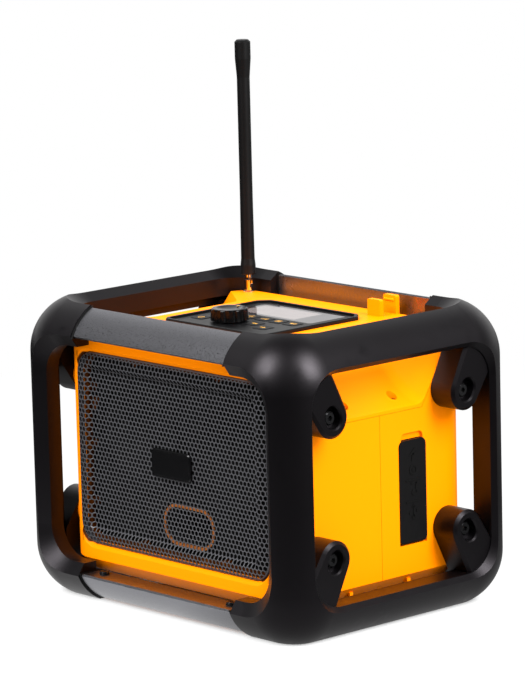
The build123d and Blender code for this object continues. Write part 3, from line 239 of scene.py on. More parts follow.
mouldGrain, edgeWear = makeMouldGrain(grainSpec), makeEdgeWear(wearSpec)
drawnLines, blastedSpeckle = makeDrawnLines(linesSpec), makeBlastedSpeckle(speckleSpec)


# shared by the materials; the depth of a bump is in metres
bumpDepth, coatRoughness, plainSpecular = 0.0002, 0.2, 0.5


def startMaterial(name):
    material = bpy.data.materials.new(name)
    material.use_nodes = True
    nodes = Nodes(material.node_tree)
    return material, nodes, material.node_tree.nodes["Principled BSDF"]


def rgb(color):
    return (*color, 1.0)


def addWear(n, spec):
    wear = n.add("ShaderNodeGroup", node_tree=edgeWear)
    n.feed(rgb(spec["color"]), wear.inputs["Base"])
    n.feed(rgb(spec["worn"]), wear.inputs["Worn"])
    n.feed(spec["edge"], wear.inputs["Width"])
    n.feed(spec["edgeAmount"], wear.inputs["Amount"])
    return wear.outputs["Color"]


def addBump(n, height, strength, shader):
    bump = n.add("ShaderNodeBump")
    n.feed(strength, bump.inputs["Strength"])
    n.feed(bumpDepth, bump.inputs["Distance"])
    n.join(height, bump.inputs["Height"])
    n.join(bump.outputs["Normal"], shader.inputs["Normal"])


def insideShare(n, along, near, far, band):
    # 1 between near and far, falling to 0 over a narrow band just inside them
    half, middle = (far - near) / 2, (far + near) / 2
    apart = n.mathNode("ABSOLUTE", n.mathNode("SUBTRACT", along, middle))
    return n.remap(apart, half - band[0], half - band[1])


# painted shade in the recess behind the grille, where the housing's yellow is darkened to stand in for shade;
# bands in metres from the grille's box
recessShadeSpec = {
    "within": "speaker_grille", "paintedShade": (0.05, 0.012, 0.001),
    "front": (0.0012, 0.002), "back": (0.009, 0.008), "side": (0.0002, 0.0008),
}


# darkens the colour to painted shade inside the grille's box, behind its front
def paintRecessShade(n, base, spec):
    low, high = nodeBox(spec["within"])
    parts = n.axes(n.coord())
    front = n.remap(parts["Y"], *(low.y + reach for reach in spec["front"]))
    back = n.remap(parts["Y"], *(high.y + reach for reach in spec["back"]))
    share = n.mathNode("MULTIPLY", front, back)
    for axis, near, far in (("X", low.x, high.x), ("Z", low.z, high.z)):
        share = n.mathNode("MULTIPLY", share, insideShare(n, parts[axis], near, far, spec["side"]))
    return n.mixColor(share, base, rgb(spec["paintedShade"]))


def plasticMaterial(name, spec):
    material, n, shader = startMaterial(name)
    base = addWear(n, spec)
    if "recess" in spec:
        base = paintRecessShade(n, base, spec["recess"])
    grain = n.add("ShaderNodeGroup", node_tree=mouldGrain)
    n.feed(spec["grain"], grain.inputs["Grain Size"])
    n.feed(spec["uneven"], grain.inputs["Unevenness"])
    n.feed(rgb(spec["rubbed"]), grain.inputs["Rubbed"])
    n.feed(spec["rub"], grain.inputs["Rub Amount"])
    n.join(base, grain.inputs["Base"])
    n.join(grain.outputs["Color"], shader.inputs["Base Color"])
    roughness = n.mathNode("ADD", grain.outputs["Roughness Shift"], spec["roughness"])
    n.join(roughness, shader.inputs["Roughness"])
    addBump(n, grain.outputs["Height"], spec["bump"], shader)
    shader.inputs["Specular IOR Level"].default_value = spec.get("specular", plainSpecular)
    shader.inputs["Specular Tint"].default_value = rgb(spec.get("tint", (1.0, 1.0, 1.0)))
    shader.inputs["Coat Weight"].default_value = spec.get("coat", 0.0)
    shader.inputs["Coat Roughness"].default_value = coatRoughness
    return material


def metalMaterial(name, spec):
    material, n, shader = startMaterial(name)
    n.join(addWear(n, spec), shader.inputs["Base Color"])
    if "speckle" in spec:
        pattern = n.add("ShaderNodeGroup", node_tree=blastedSpeckle)
        n.feed(spec["speckle"], pattern.inputs["Speckle Size"])
    else:
        pattern = n.add("ShaderNodeGroup", node_tree=drawnLines)
        n.feed(spec["lines"], pattern.inputs["Density"])
    low, high = spec["roughness"] - spec["spread"], spec["roughness"] + spec["spread"]
    n.join(n.remap(pattern.outputs["Mask"], 0.0, 1.0, low, high), shader.inputs["Roughness"])
    addBump(n, pattern.outputs["Height"], spec["bump"], shader)
    shader.inputs["Metallic"].default_value = spec["metallic"]
    return material


# edge is the width of the worn line in metres; grain and speckle are sizes in mm
plastics = {
    "cageBlack": {
        "color": (0.0011, 0.0009, 0.0012), "worn": (0.011, 0.011, 0.012), "edge": 0.0007,
        "edgeAmount": 0.3, "grain": 0.5, "uneven": 0.06, "rubbed": (0.003, 0.003, 0.0033), "rub": 0.3,
        "roughness": 0.4, "bump": 0.12, "specular": 0.31, "tint": (1.0, 0.92, 1.0)},
    "housingYellow": {
        "color": (1.0, 0.24, 0.0), "worn": (1.0, 0.34, 0.005), "edge": 0.0006, "edgeAmount": 0.2,
        "grain": 0.5, "uneven": 0.06, "rubbed": (0.96, 0.27, 0.0), "rub": 0.12, "roughness": 0.42,
        "bump": 0.05, "specular": 0.02},
    "panelBlack": {
        "color": (0.0022, 0.0022, 0.0026), "worn": (0.03, 0.03, 0.03), "edge": 0.0005,
        "edgeAmount": 0.4, "grain": 0.4, "uneven": 0.08, "rubbed": (0.004, 0.004, 0.0045), "rub": 0.3,
        "roughness": 0.42, "bump": 0.12, "specular": 0.18},
    "keyRubber": {
        "color": (0.003, 0.003, 0.0034), "worn": (0.02, 0.02, 0.02), "edge": 0.0005, "edgeAmount": 0.4,
        "grain": 0.3, "uneven": 0.08, "rubbed": (0.005, 0.005, 0.0055), "rub": 0.3, "roughness": 0.5,
        "bump": 0.12, "specular": 0.15},
    "knobBlack": {
        "color": (0.0014, 0.0014, 0.0015), "worn": (0.03, 0.03, 0.03), "edge": 0.0005,
        "edgeAmount": 0.3, "grain": 0.35, "uneven": 0.06, "rubbed": (0.004, 0.004, 0.004), "rub": 0.2,
        "roughness": 0.24, "bump": 0.05, "specular": 0.24},
    "aerialRubber": {
        "color": (0.002, 0.002, 0.0022), "worn": (0.012, 0.012, 0.012), "edge": 0.0005,
        "edgeAmount": 0.2, "grain": 0.5, "uneven": 0.1, "rubbed": (0.007, 0.0068, 0.0066), "rub": 0.35,
        "roughness": 0.46, "bump": 0.15, "specular": 0.25},
    "flapRubber": {
        "color": (0.0035, 0.0033, 0.0036), "worn": (0.014, 0.014, 0.015), "edge": 0.0006,
        "edgeAmount": 0.4, "grain": 0.5, "uneven": 0.1, "rubbed": (0.008, 0.008, 0.0085), "rub": 0.3,
        "roughness": 0.5, "bump": 0.15, "specular": 0.2},
    "sealRubber": {
        "color": (0.003, 0.003, 0.003), "worn": (0.01, 0.01, 0.01), "edge": 0.0004, "edgeAmount": 0.2,
        "grain": 0.4, "uneven": 0.1, "rubbed": (0.006, 0.006, 0.006), "rub": 0.2, "roughness": 0.6,
        "bump": 0.1, "specular": 0.18},
    "badgeGloss": {
        "color": (0.003, 0.003, 0.0033), "worn": (0.03, 0.03, 0.03), "edge": 0.0004, "edgeAmount": 0.4,
        "grain": 1.2, "uneven": 0.05, "rubbed": (0.006, 0.006, 0.006), "rub": 0.2, "roughness": 0.24,
        "bump": 0.02, "specular": 0.3},
    "innerBlack": {
        "color": (0.002, 0.002, 0.002), "worn": (0.005, 0.005, 0.005), "edge": 0.0008,
        "edgeAmount": 0.2, "grain": 0.8, "uneven": 0.1, "rubbed": (0.003, 0.003, 0.003), "rub": 0.2,
        "roughness": 0.7, "bump": 0.2, "specular": 0.06},
    "conePaper": {
        "color": (0.003, 0.003, 0.003), "worn": (0.006, 0.006, 0.006), "edge": 0.0008,
        "edgeAmount": 0.2, "grain": 1.0, "uneven": 0.15, "rubbed": (0.005, 0.005, 0.005), "rub": 0.4,
        "roughness": 0.75, "bump": 0.3, "specular": 0.06},
    "socketBlack": {
        "color": (0.008, 0.008, 0.008), "worn": (0.03, 0.03, 0.03), "edge": 0.0005, "edgeAmount": 0.3,
        "grain": 0.4, "uneven": 0.08, "rubbed": (0.014, 0.014, 0.014), "rub": 0.2, "roughness": 0.45,
        "bump": 0.05},
    "boardGreen": {
        "color": (0.01, 0.12, 0.035), "worn": (0.1, 0.2, 0.1), "edge": 0.0005, "edgeAmount": 0.4,
        "grain": 1.5, "uneven": 0.1, "rubbed": (0.02, 0.16, 0.05), "rub": 0.5, "roughness": 0.35,
        "bump": 0.1, "coat": 0.3},
    "batterySleeve": {
        "color": (0.02, 0.045, 0.14), "worn": (0.1, 0.15, 0.3), "edge": 0.001, "edgeAmount": 0.3,
        "grain": 2.0, "uneven": 0.15, "rubbed": (0.03, 0.06, 0.18), "rub": 0.4, "roughness": 0.3,
        "bump": 0.1, "coat": 0.2},
    "displayGrey": {
        "color": (0.24, 0.23, 0.225), "worn": (0.28, 0.28, 0.28), "edge": 0.0004, "edgeAmount": 0.1,
        "grain": 0.3, "uneven": 0.05, "rubbed": (0.22, 0.215, 0.215), "rub": 0.3, "roughness": 0.3,
        "bump": 0.02},
    "iconYellow": {
        "color": (0.62, 0.3, 0.015), "worn": (0.7, 0.3, 0.05), "edge": 0.0002, "edgeAmount": 0.1,
        "grain": 0.3, "uneven": 0.05, "rubbed": (0.4, 0.15, 0.005), "rub": 0.4, "roughness": 0.45,
        "bump": 0.02},
}
metals = {
    "barGrey": {
        "color": (0.24, 0.24, 0.258), "worn": (0.55, 0.57, 0.61), "edge": 0.0009, "edgeAmount": 1.0,
        "speckle": 0.7, "roughness": 0.34, "spread": 0.1, "bump": 0.15, "metallic": 1.0},
    "screwBlack": {
        "color": (0.04, 0.04, 0.042), "worn": (0.2, 0.2, 0.2), "edge": 0.0004, "edgeAmount": 0.5,
        "lines": 1500.0, "roughness": 0.2, "spread": 0.04, "bump": 0.03, "metallic": 0.9},
    "chrome": {
        "color": (0.82, 0.82, 0.84), "worn": (0.7, 0.7, 0.7), "edge": 0.0003, "edgeAmount": 0.2,
        "lines": 800.0, "roughness": 0.09, "spread": 0.03, "bump": 0.01, "metallic": 1.0},
    "plainSteel": {
        "color": (0.5, 0.5, 0.52), "worn": (0.6, 0.6, 0.6), "edge": 0.0003, "edgeAmount": 0.3,
        "lines": 1500.0, "roughness": 0.3, "spread": 0.08, "bump": 0.03, "metallic": 1.0},
    "plainAluminium": {
        "color": (0.6, 0.6, 0.62), "worn": (0.7, 0.7, 0.7), "edge": 0.0004, "edgeAmount": 0.3,
        "lines": 1200.0, "roughness": 0.35, "spread": 0.08, "bump": 0.04, "metallic": 1.0},
    "grilleGrey": {
        "color": (0.075, 0.075, 0.082), "worn": (0.14, 0.14, 0.14), "edge": 0.0002, "edgeAmount": 0.2,
        "speckle": 0.3, "roughness": 0.45, "spread": 0.05, "bump": 0.05, "metallic": 0.3},
    "basketBlack": {
        "color": (0.004, 0.004, 0.004), "worn": (0.03, 0.03, 0.03), "edge": 0.0006, "edgeAmount": 0.3,
        "lines": 800.0, "roughness": 0.5, "spread": 0.05, "bump": 0.03, "metallic": 0.8},
}
# the front shell's yellow, with painted shade in the recess behind the grille
plastics["housingFrontShaded"] = {**plastics["housingYellow"], "recess": recessShadeSpec}
finishes = {name: plasticMaterial(name, spec) for name, spec in plastics.items()}
finishes.update({name: metalMaterial(name, spec) for name, spec in metals.items()})


# display window: an opaque smoke tint, with the pale display painted in where it lies below
windowSpec = {
    "smoke": (0.022, 0.018, 0.020), "display": (0.145, 0.125, 0.122), "fade": (0.0006, 0.0012),
    "smearScale": 90.0, "smearDetail": 5.0, "smears": (0.4, 0.75), "roughness": (0.06, 0.11), "specular": 0.3,
}


def windowMaterial(spec):
    material, n, shader = startMaterial("windowSmoke")
    low, high = nodeBox("display_module")
    coord = n.coord()
    parts = n.axes(coord)
    across = insideShare(n, parts["X"], low.x, high.x, spec["fade"])
    along = insideShare(n, parts["Y"], low.y, high.y, spec["fade"])
    inside = n.mathNode("MULTIPLY", across, along)
    n.join(n.mixColor(inside, rgb(spec["smoke"]), rgb(spec["display"])), shader.inputs["Base Color"])
    smears = n.noise(coord, spec["smearScale"], spec["smearDetail"])
    n.join(n.remap(smears, *spec["smears"], *spec["roughness"]), shader.inputs["Roughness"])
    shader.inputs["Specular IOR Level"].default_value = spec["specular"]
    return material


finishes["windowSmoke"] = windowMaterial(windowSpec)

# bass duct: dim yellow lip, with black painted shade on the tube behind it
ductSpec = {
    "lip": (0.3, 0.08, 0.0), "inside": (0.004, 0.004, 0.004), "lipDepth": (0.0006, 0.0012),
    "fuzzScale": 900.0, "fuzzDetail": 2.0, "fuzz": (0.3, 0.7), "roughness": (0.42, 0.6),
}


def ductMaterial(spec):
    material, n, shader = startMaterial("ductLip")
    low, high = nodeBox("bass_duct")
    coord = n.coord()
    behind = n.remap(n.axes(coord)["Y"], *(low.y + depth for depth in spec["lipDepth"]))
    # behind the lip the duct's colour is black painted shade for the tube's dark inside
    n.join(n.mixColor(behind, rgb(spec["lip"]), rgb(spec["inside"])), shader.inputs["Base Color"])
    fuzz = n.noise(coord, spec["fuzzScale"], spec["fuzzDetail"])
    n.join(n.remap(fuzz, *spec["fuzz"], *spec["roughness"]), shader.inputs["Roughness"])
    return material


finishes["ductLip"] = ductMaterial(ductSpec)

# finish of every CAD node, by the start of its name; the first that fits counts
nodeFinish = {
    "side_frame": "cageBlack", "bar_seals": "sealRubber", "bar_screws": "screwBlack", "bar_": "barGrey",
    "frame_screws": "screwBlack", "cover_screws": "screwBlack", "shell_screws": "screwBlack",
    "board_screws": "plainSteel", "front_shell": "housingFrontShaded", "rear_shell": "housingYellow",
    "top_cover": "housingYellow", "bass_duct": "ductLip", "speaker_grille": "grilleGrey",
    "badge": "badgeGloss", "speaker_baffle": "innerBlack", "speaker_cone": "conePaper",
    "speaker_": "basketBlack", "panel_frame": "panelBlack", "display_window": "windowSmoke",
    "display_module": "displayGrey", "key_switches": "socketBlack", "key_": "keyRubber",
    "volume_knob": "knobBlack", "encoder_body": "socketBlack", "encoder_": "plainSteel",
    "control_board": "boardGreen", "main_board": "boardGreen", "socket_board": "boardGreen",
    "heat_sink": "plainAluminium", "aerial_whip": "aerialRubber", "aerial_": "chrome",
    "socket_cover_pin": "plainSteel", "socket_cover": "flapRubber", "power_socket": "socketBlack",
    "audio_socket": "socketBlack", "usb_socket": "plainSteel", "battery_door_pin": "plainSteel",
    "battery_door": "panelBlack", "battery_pack": "batterySleeve", "socket_tub": "innerBlack",
    "battery_tub": "innerBlack",
}


def dressNodes():
    for name, thing in frame["nodes"].items():
        finish = next(value for key, value in nodeFinish.items() if name.startswith(key))
        slots = thing.material_slots
        if len(slots) == 0:
            thing.data.materials.append(finishes[finish])
        for slot in slots:
            slot.material = finishes[finish]


dressNodes()
print("materials assigned")


def newPiece(name, vertices, faces, finish, body, smooth=False):
    mesh = bpy.data.meshes.new(name)
    mesh.from_pydata([tuple(v) for v in vertices], [], faces)
    mesh.update()
    piece = bpy.data.objects.new(name, mesh)
    bpy.context.collection.objects.link(piece)
    mesh.materials.append(finishes[finish])
    if smooth:
        for polygon in mesh.polygons:
            polygon.use_smooth = True
    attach(piece, body)
    return piece


# perforated grille sheet, formed like the CAD sheet but with the real pitch; lengths in mm
grilleSpec = {
    "pitch": 3.9, "web": 0.7, "sheet": 0.5, "punchDip": 0.02, "corner": 17.0, "clearance": 0.3,
    "rollWidth": 9.4, "rollDepth": 3.4, "rollCurve": 2.4, "ridge": 0.8, "step": 3.2,
    "rim": 0.8, "rimOverlap": 0.3, "leastShare": 0.3, "cornerSteps": 8, "slot": "grille",
    # the rim's section, as inset from the outline and depth behind the face
    "rimSection": ((0.0, 0.0), (0.3, 0.0), (0.9, 0.0), (1.1, 0.15), (1.1, 0.8)),
}


def makeGrille(spec):
    low, high = nodeBox("speaker_grille")
    frontY = low.y
    halfW, halfH = (high.x - low.x) / 2 / mm, (high.z - low.z) / 2 / mm
    midX, midZ = (high.x + low.x) / 2, (high.z + low.z) / 2
    corner = spec["corner"] - spec["clearance"]

    def insetOf(x, z):
        # distance inside the sheet's rounded outline
        qx, qz = abs(x) - (halfW - corner), abs(z) - (halfH - corner)
        outside = math.hypot(max(qx, 0.0), max(qz, 0.0)) + min(max(qx, qz), 0.0)
        return corner - outside

    def depthOf(inset):
        # how far the sheet's face lies behind its foremost ridge
        if inset < spec["rollWidth"]:
            share = 1.0 - max(inset, 0.0) / spec["rollWidth"]
            return spec["rollDepth"] * (1.0 - math.sqrt(max(0.0, 1.0 - share ** spec["rollCurve"])))
        run = inset - spec["rollWidth"] - spec["ridge"]
        return min(max(run, 0.0), spec["step"])

    def pulledIn(x, z, least):
        # moves a point that lies outside the rim's inner edge onto it
        short = least - insetOf(x, z)
        if short <= 0:
            return x, z
        qx, qz = abs(x) - (halfW - corner), abs(z) - (halfH - corner)
        if qx > 0 and qz > 0:
            length = math.hypot(qx, qz)
            return x - math.copysign(short * qx / length, x), z - math.copysign(short * qz / length, z)
        if qx > qz:
            return x - math.copysign(short, x), z
        return x, z - math.copysign(short, z)

    def place(x, z, behind=0.0):
        return (midX + x * mm, frontY + (depthOf(insetOf(x, z)) + behind) * mm, midZ + z * mm)

    pitch, rim, dip = spec["pitch"], spec["rim"], spec["punchDip"]
    inner = rim + spec["rimOverlap"]
    rowStep = pitch * math.sqrt(3) / 2
    outerRadius = pitch / math.sqrt(3)
    holeRadius = (pitch - spec["web"]) / math.sqrt(3)
    rows, columns = int(halfH / rowStep) + 1, int(halfW / pitch) + 1
    ring = [(math.cos(math.radians(30 + 60 * k)), math.sin(math.radians(30 + 60 * k))) for k in range(6)]
    vertices, faces, known = [], [], {}

    def vertex(x, z, behind):
        key = (round(x, 3), round(z, 3), round(behind, 2))
        if key not in known:
            known[key] = len(vertices)
            vertices.append(place(x, z, behind))
        return known[key]

    for row in range(-rows, rows + 1):
        for column in range(-columns, columns + 1):
            x = (column + (row % 2) / 2) * pitch
            z = row * rowStep
            # a hole whose middle lies too far outside the rim's inner edge isn't punched
            if insetOf(x, z) < rim - holeRadius * spec["leastShare"]:
                continue
            around = [pulledIn(x + outerRadius * c, z + outerRadius * s, rim) for c, s in ring]
            within = [pulledIn(x + holeRadius * c, z + holeRadius * s, inner) for c, s in ring]
            outer = [vertex(*spot, 0.0) for spot in around]
            hole = [vertex(*spot, dip) for spot in within]
            deep = [vertex(*spot, spec["sheet"]) for spot in within]
            back = [vertex(*spot, spec["sheet"] + dip) for spot in around]
            for k in range(6):
                j = (k + 1) % 6
                faces.append((outer[k], hole[k], hole[j], outer[j]))
                faces.append((hole[k], deep[k], deep[j], hole[j]))
                faces.append((deep[k], back[k], back[j], deep[j]))
    sheet = newPiece("grilleSheet", vertices, faces, "grilleGrey", "radio")

    # plain rolled rim round the perforations, from the back edge of its flange inwards
    steps = spec["cornerSteps"]
    count = 4 * (steps + 1)
    rings = [(0.0, None), *spec["rimSection"]]

    def outlinePoint(inset, t):
        w, h, r = halfW - inset, halfH - inset, corner - inset
        quarter, part = divmod(t, steps + 1)
        signX, signZ = ((1, 1), (-1, 1), (-1, -1), (1, -1))[quarter]
        angle = math.radians(90 * quarter + 90 * part / steps)
        return signX * (w - r) + r * math.cos(angle), signZ * (h - r) + r * math.sin(angle)

    vertices, faces = [], []
    for inset, behind in rings:
        for t in range(count):
            spot = place(*outlinePoint(inset, t), behind or 0.0)
            vertices.append((spot[0], high.y, spot[2]) if behind is None else spot)
    for r in range(len(rings) - 1):
        for t in range(count):
            u = (t + 1) % count
            faces.append((r * count + t, r * count + u, (r + 1) * count + u, (r + 1) * count + t))
    edge = newPiece("grilleRim", vertices, faces, "grilleGrey", "radio", smooth=True)
    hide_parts("speaker_grille")


makeGrille(grilleSpec)
print("grille perforated")


# small marks: generic signs on the keys, a dot on the knob, relief on the socket cover, a frame on the
# plate; sizes and heights in mm
markSpec = {
    "sunk": 0.05, "weld": 0.002, "keySign": 0.06, "knobDot": 0.05, "coverRelief": 0.45, "plateFrame": 0.12,
}


def ringShape(cx, cy, outer, inner, start=0.0, sweep=360.0, steps=20):
    # quads of a ring or an arc
    quads = []
    for k in range(steps):
        a, b = (math.radians(start + sweep * (k + j) / steps) for j in (0, 1))
        corners = ((outer, a), (outer, b), (inner, b), (inner, a))
        quads.append([(cx + r * math.cos(w), cy + r * math.sin(w)) for r, w in corners])
    return quads


def boxShape(x, y, width, height):
    signs = ((-1, -1), (1, -1), (1, 1), (-1, 1))
    return [(x + i * width / 2, y + j * height / 2) for i, j in signs]


def arrowShape(x, y, size, way):
    tail, tip = x - way * size / 2, x + way * size / 2
    return [(tail, y + size / 2), (tail, y - size / 2), (tip, y)][::way]


def addMark(name, shapes, origin, across, up, height, finish, body):
    # raised flat shapes on a face; across and up are the face's own directions
    across, up, origin = Vector(across), Vector(up), Vector(origin)
    out = across.cross(up)
    sunk = markSpec["sunk"]
    work = bmesh.new()
    for shape in shapes:
        work.faces.new([work.verts.new(origin + (across * x + up * y - out * sunk) * mm) for x, y in shape])
    bmesh.ops.remove_doubles(work, verts=work.verts, dist=markSpec["weld"] * mm)
    raised = bmesh.ops.extrude_face_region(work, geom=work.faces[:])["geom"]
    lifted = [part for part in raised if isinstance(part, bmesh.types.BMVert)]
    bmesh.ops.translate(work, verts=lifted, vec=out * (height + sunk) * mm)
    bmesh.ops.recalc_face_normals(work, faces=work.faces)
    piece = newPiece(name, [], [], finish, body)
    work.to_mesh(piece.data)
    work.free()


keySigns = {
    "key_power": ringShape(0, 0, 2.5, 1.9, 120, 300) + [boxShape(0, 1.9, 0.6, 2.6)],
    "key_source": [boxShape(-0.6, 0, 3.2, 0.7), arrowShape(1.9, 0, 2.2, 1)]
    + ringShape(0, 0, 3.6, 3.1, 60, 240, 14),
    "key_band": [boxShape(1.6 * k - 2.4, 0.4 * k - 1.0, 0.8, 0.8 * k + 1.2) for k in range(4)],
    "key_menu": [boxShape(0, y, 4.6, 0.7) for y in (-1.6, 0.0, 1.6)],
    "key_sound": [boxShape(-1.8, 0, 1.2, 1.6), [(-1.2, -0.8), (0.3, -2.0), (0.3, 2.0), (-1.2, 0.8)]]
    + ringShape(0.4, 0, 1.8, 1.3, -50, 100, 8) + ringShape(0.4, 0, 3.0, 2.5, -50, 100, 8),
    "key_previous": [arrowShape(-1.3, 0, 2.6, -1), arrowShape(1.3, 0, 2.6, -1)],
    "key_next": [arrowShape(-1.3, 0, 2.6, 1), arrowShape(1.3, 0, 2.6, 1)],
}


def addKeySigns():
    for key, shapes in keySigns.items():
        low, high = nodeBox(key)
        middle = ((low.x + high.x) / 2, (low.y + high.y) / 2, high.z)
        body, height = bodyOf[key], markSpec["keySign"]
        addMark(key + "Sign", shapes, middle, (1, 0, 0), (0, 1, 0), height, "iconYellow", body)


addKeySigns()

knobDotSpec = {"size": (1.2, 3.0), "offCentre": 8.6}


def addKnobDot(spec):
    low, high = nodeBox("volume_knob")
    spot = ((low.x + high.x) / 2, (low.y + high.y) / 2 + spec["offCentre"] * mm, high.z)
    shapes = [boxShape(0, 0, *spec["size"])]
    body, height = bodyOf["volume_knob"], markSpec["knobDot"]
    addMark("knobDot", shapes, spot, (1, 0, 0), (0, 1, 0), height, "iconYellow", body)


addKnobDot(knobDotSpec)

coverRelief = {
    "lightning": [[(1.6, 32.2), (-4.4, 26.4), (0.4, 26.8)], [(-0.6, 28.0), (4.4, 28.4), (-1.8, 22.2)]],
    "plug": ringShape(0, 16.0, 3.8, 2.6) + ringShape(0, 16.0, 1.4, 0.0, steps=10),
    "barOne": [boxShape(0, 8.6, 15.0, 1.2)],
    "note": [boxShape(2.6, 3.0, 1.3, 7.6), boxShape(0.4, 6.2, 5.6, 1.4)]
    + ringShape(0.6, -0.4, 2.4, 0.0, steps=12),
    "barTwo": [boxShape(0, -7.2, 15.0, 1.2)],
    "data": [boxShape(0, -14.4, 1.2, 8.0), boxShape(3.6, -14.0, 2.4, 2.4)]
    + [[(-2.2, -11.2), (2.2, -11.2), (0, -8.6)]]
    + ringShape(0, -18.6, 2.0, 0.0, steps=12) + ringShape(-3.4, -15.4, 1.4, 0.0, steps=10),
}


def addCoverRelief():
    low, high = nodeBox("socket_cover")
    middle = (high.x, (low.y + high.y) / 2, (low.z + high.z) / 2)
    shapes = [shape for part in coverRelief.values() for shape in part]
    body, height = bodyOf["socket_cover"], markSpec["coverRelief"]
    addMark("coverRelief", shapes, middle, (0, 1, 0), (0, 0, 1), height, "sealRubber", body)


addCoverRelief()

plateFrameSpec = {"inset": 1.7, "line": 0.5}


def addPlateFrame(spec):
    low, high = nodeBox("badge_plate")
    middle = ((low.x + high.x) / 2, low.y, (low.z + high.z) / 2)
    w, h = (high.x - low.x) / mm - 2 * spec["inset"], (high.z - low.z) / mm - 2 * spec["inset"]
    line = spec["line"]
    shapes = [boxShape(0, y, w, line) for y in (-h / 2, h / 2)]
    shapes += [boxShape(x, 0, line, h - line) for x in (-w / 2, w / 2)]
    body, height = bodyOf["badge_plate"], markSpec["plateFrame"]
    addMark("plateFrame", shapes, middle, (1, 0, 0), (0, 0, 1), height, "badgeGloss", body)


addPlateFrame(plateFrameSpec)
print("marks added")


# studio
studioSpec = {
    "aim": (0.0, 0.0, 0.11),
    "lamps": {
        "softboxRight": {"turn": 97.0, "lift": 38.0, "away": 2.2, "size": (0.85, 1.4), "power": 72.0},
        "softboxLeft": {"turn": -8.0, "lift": 43.0, "away": 2.2, "size": (1.0, 1.1), "power": 56.0},
    },
    "roomLight": {"band": (0.0, 0.8), "strength": (1.5, 2.2)},
    "backdrop": {"turn": -135.0, "band": (0.3, 0.75), "gloss": 1.15},
    "ceiling": {"band": (0.1, 0.6), "gloss": (0.02, 0.05)},
}
floorSpec = {
    "size": 30.0, "white": (0.9, 0.9, 0.9), "grey": 0.3, "fade": (0.3, 0.9), "nearGlow": 0.94,
    "underneath": {"X": (0.12, 0.14), "Y": (0.08, 0.105)},
    "front": {"turn": -60.0, "band": (-0.03, 0.05), "gloss": (0.5, 1.0), "fade": (0.17, 0.42), "least": 0.01},
    "rear": {"turn": 150.0, "band": (0.3, 1.2), "gloss": (0.0, 0.35)},
}


def floorMaterial(spec):
    # white to the eye, with the object's shadow kept near it; duller to the light that bounces off it
    material = bpy.data.materials.new("floorWhite")
    material.use_nodes = True
    n = Nodes(material.node_tree)
    material.node_tree.nodes.clear()
    path = n.add("ShaderNodeLightPath").outputs
    coord = n.coord()
    parts = n.axes(coord)
    length = n.add("ShaderNodeVectorMath", operation="LENGTH")
    n.join(coord, length.inputs[0])
    radius = length.outputs["Value"]
    dulled = n.mathNode("MULTIPLY", path["Is Diffuse Ray"], spec["grey"])
    diffuse = n.add("ShaderNodeBsdfDiffuse")
    n.join(n.mixColor(path["Is Camera Ray"], dulled, rgb(spec["white"])), diffuse.inputs["Color"])
    glow = n.add("ShaderNodeEmission")
    glow.inputs["Strength"].default_value = 1.0
    # the floor glows nearly white, except right under the object
    beyond = [n.remap(n.mathNode("ABSOLUTE", parts[axis]), *spec["underneath"][axis]) for axis in "XY"]
    glowing = n.remap(n.remap(radius, *spec["fade"]), 0.0, 1.0, spec["nearGlow"], 1.0)
    nearShare = n.mathNode("MULTIPLY", glowing, n.mathNode("MAXIMUM", *beyond))
    # to gloss it is brightest by the front, pale again far behind, dark between
    front, rear = spec["front"], spec["rear"]
    frontGloss = n.remap(n.towards(coord, front["turn"]), *front["band"], *front["gloss"])
    frontGloss = n.mathNode("MULTIPLY", frontGloss, n.remap(radius, *front["fade"], 1.0, front["least"]))
    rearGloss = n.remap(n.towards(coord, rear["turn"]), *rear["band"], *rear["gloss"])
    seen = n.mathNode("MULTIPLY", path["Is Camera Ray"], nearShare)
    for ray, share in (("Is Glossy Ray", n.mathNode("MAXIMUM", frontGloss, rearGloss)),
                       ("Is Transmission Ray", nearShare)):
        seen = n.mathNode("MAXIMUM", seen, n.mathNode("MULTIPLY", path[ray], share))
    mix = n.add("ShaderNodeMixShader")
    n.join(seen, mix.inputs["Fac"])
    n.join(diffuse.outputs["BSDF"], mix.inputs[1])
    n.join(glow.outputs["Emission"], mix.inputs[2])
    n.join(mix.outputs["Shader"], n.add("ShaderNodeOutputMaterial").inputs["Surface"])
    return material


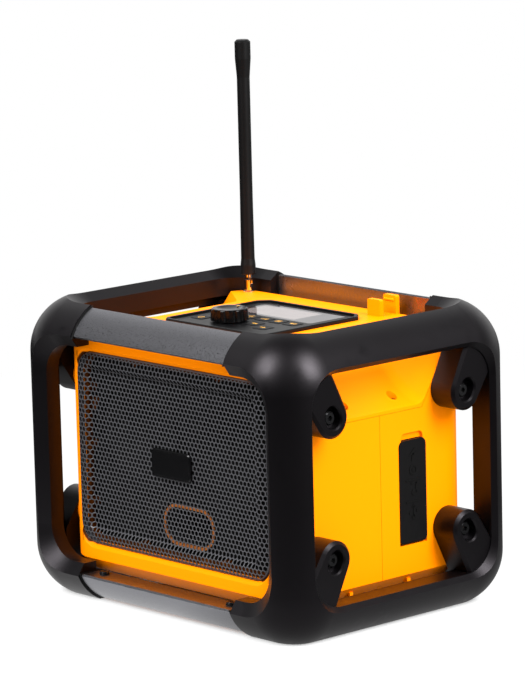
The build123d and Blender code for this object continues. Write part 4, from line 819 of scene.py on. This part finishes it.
def addFloor(spec):
    half = spec["size"] / 2
    mesh = bpy.data.meshes.new("studioFloor")
    corners = [(-half, -half, 0), (half, -half, 0), (half, half, 0), (-half, half, 0)]
    mesh.from_pydata(corners, [], [(0, 1, 2, 3)])
    floor = bpy.data.objects.new("studioFloor", mesh)
    bpy.context.collection.objects.link(floor)
    mesh.materials.append(floorMaterial(spec))


def addLamps(spec):
    aim = Vector(spec["aim"])
    for name, lamp in spec["lamps"].items():
        data = bpy.data.lights.new(name, "AREA")
        data.shape, data.energy = "RECTANGLE", lamp["power"]
        data.size, data.size_y = lamp["size"]
        thing = bpy.data.objects.new(name, data)
        bpy.context.collection.objects.link(thing)
        t, f = math.radians(lamp["turn"]), math.radians(lamp["lift"])
        towards = Vector((math.sin(t) * math.cos(f), -math.cos(t) * math.cos(f), math.sin(f)))
        thing.location = aim + lamp["away"] * towards
        thing.rotation_euler = (aim - thing.location).to_track_quat("-Z", "Y").to_euler()


def makeRoom(spec):
    # a white backdrop stands on one side of the room and a pale ceiling over it, where gloss finds them
    world = bpy.data.worlds.new("studioWorld")
    bpy.context.scene.world = world
    world.use_nodes = True
    n = Nodes(world.node_tree)
    world.node_tree.nodes.clear()
    path = n.add("ShaderNodeLightPath").outputs
    around = n.coord("Generated")
    towards = n.towards(around, spec["backdrop"]["turn"])
    backdrop = n.remap(towards, *spec["backdrop"]["band"], 0.0, spec["backdrop"]["gloss"])
    ceiling = n.remap(n.axes(around)["Z"], *spec["ceiling"]["band"], *spec["ceiling"]["gloss"])
    gloss = n.mathNode("MULTIPLY", n.mathNode("MAXIMUM", backdrop, ceiling), path["Is Glossy Ray"])
    white = n.mathNode("MAXIMUM", path["Is Camera Ray"], path["Is Transmission Ray"])
    light = n.remap(towards, *spec["roomLight"]["band"], *spec["roomLight"]["strength"])
    plain = n.mathNode("MULTIPLY", path["Is Diffuse Ray"], light)
    room = n.add("ShaderNodeBackground")
    room.inputs["Color"].default_value = (1, 1, 1, 1)
    n.join(n.mathNode("MAXIMUM", n.mathNode("MAXIMUM", gloss, white), plain), room.inputs["Strength"])
    n.join(room.outputs["Background"], n.add("ShaderNodeOutputWorld").inputs["Surface"])


addFloor(floorSpec)
addLamps(studioSpec)
makeRoom(studioSpec)
bpy.context.scene.view_settings.view_transform = "Standard"
print("studio lit")
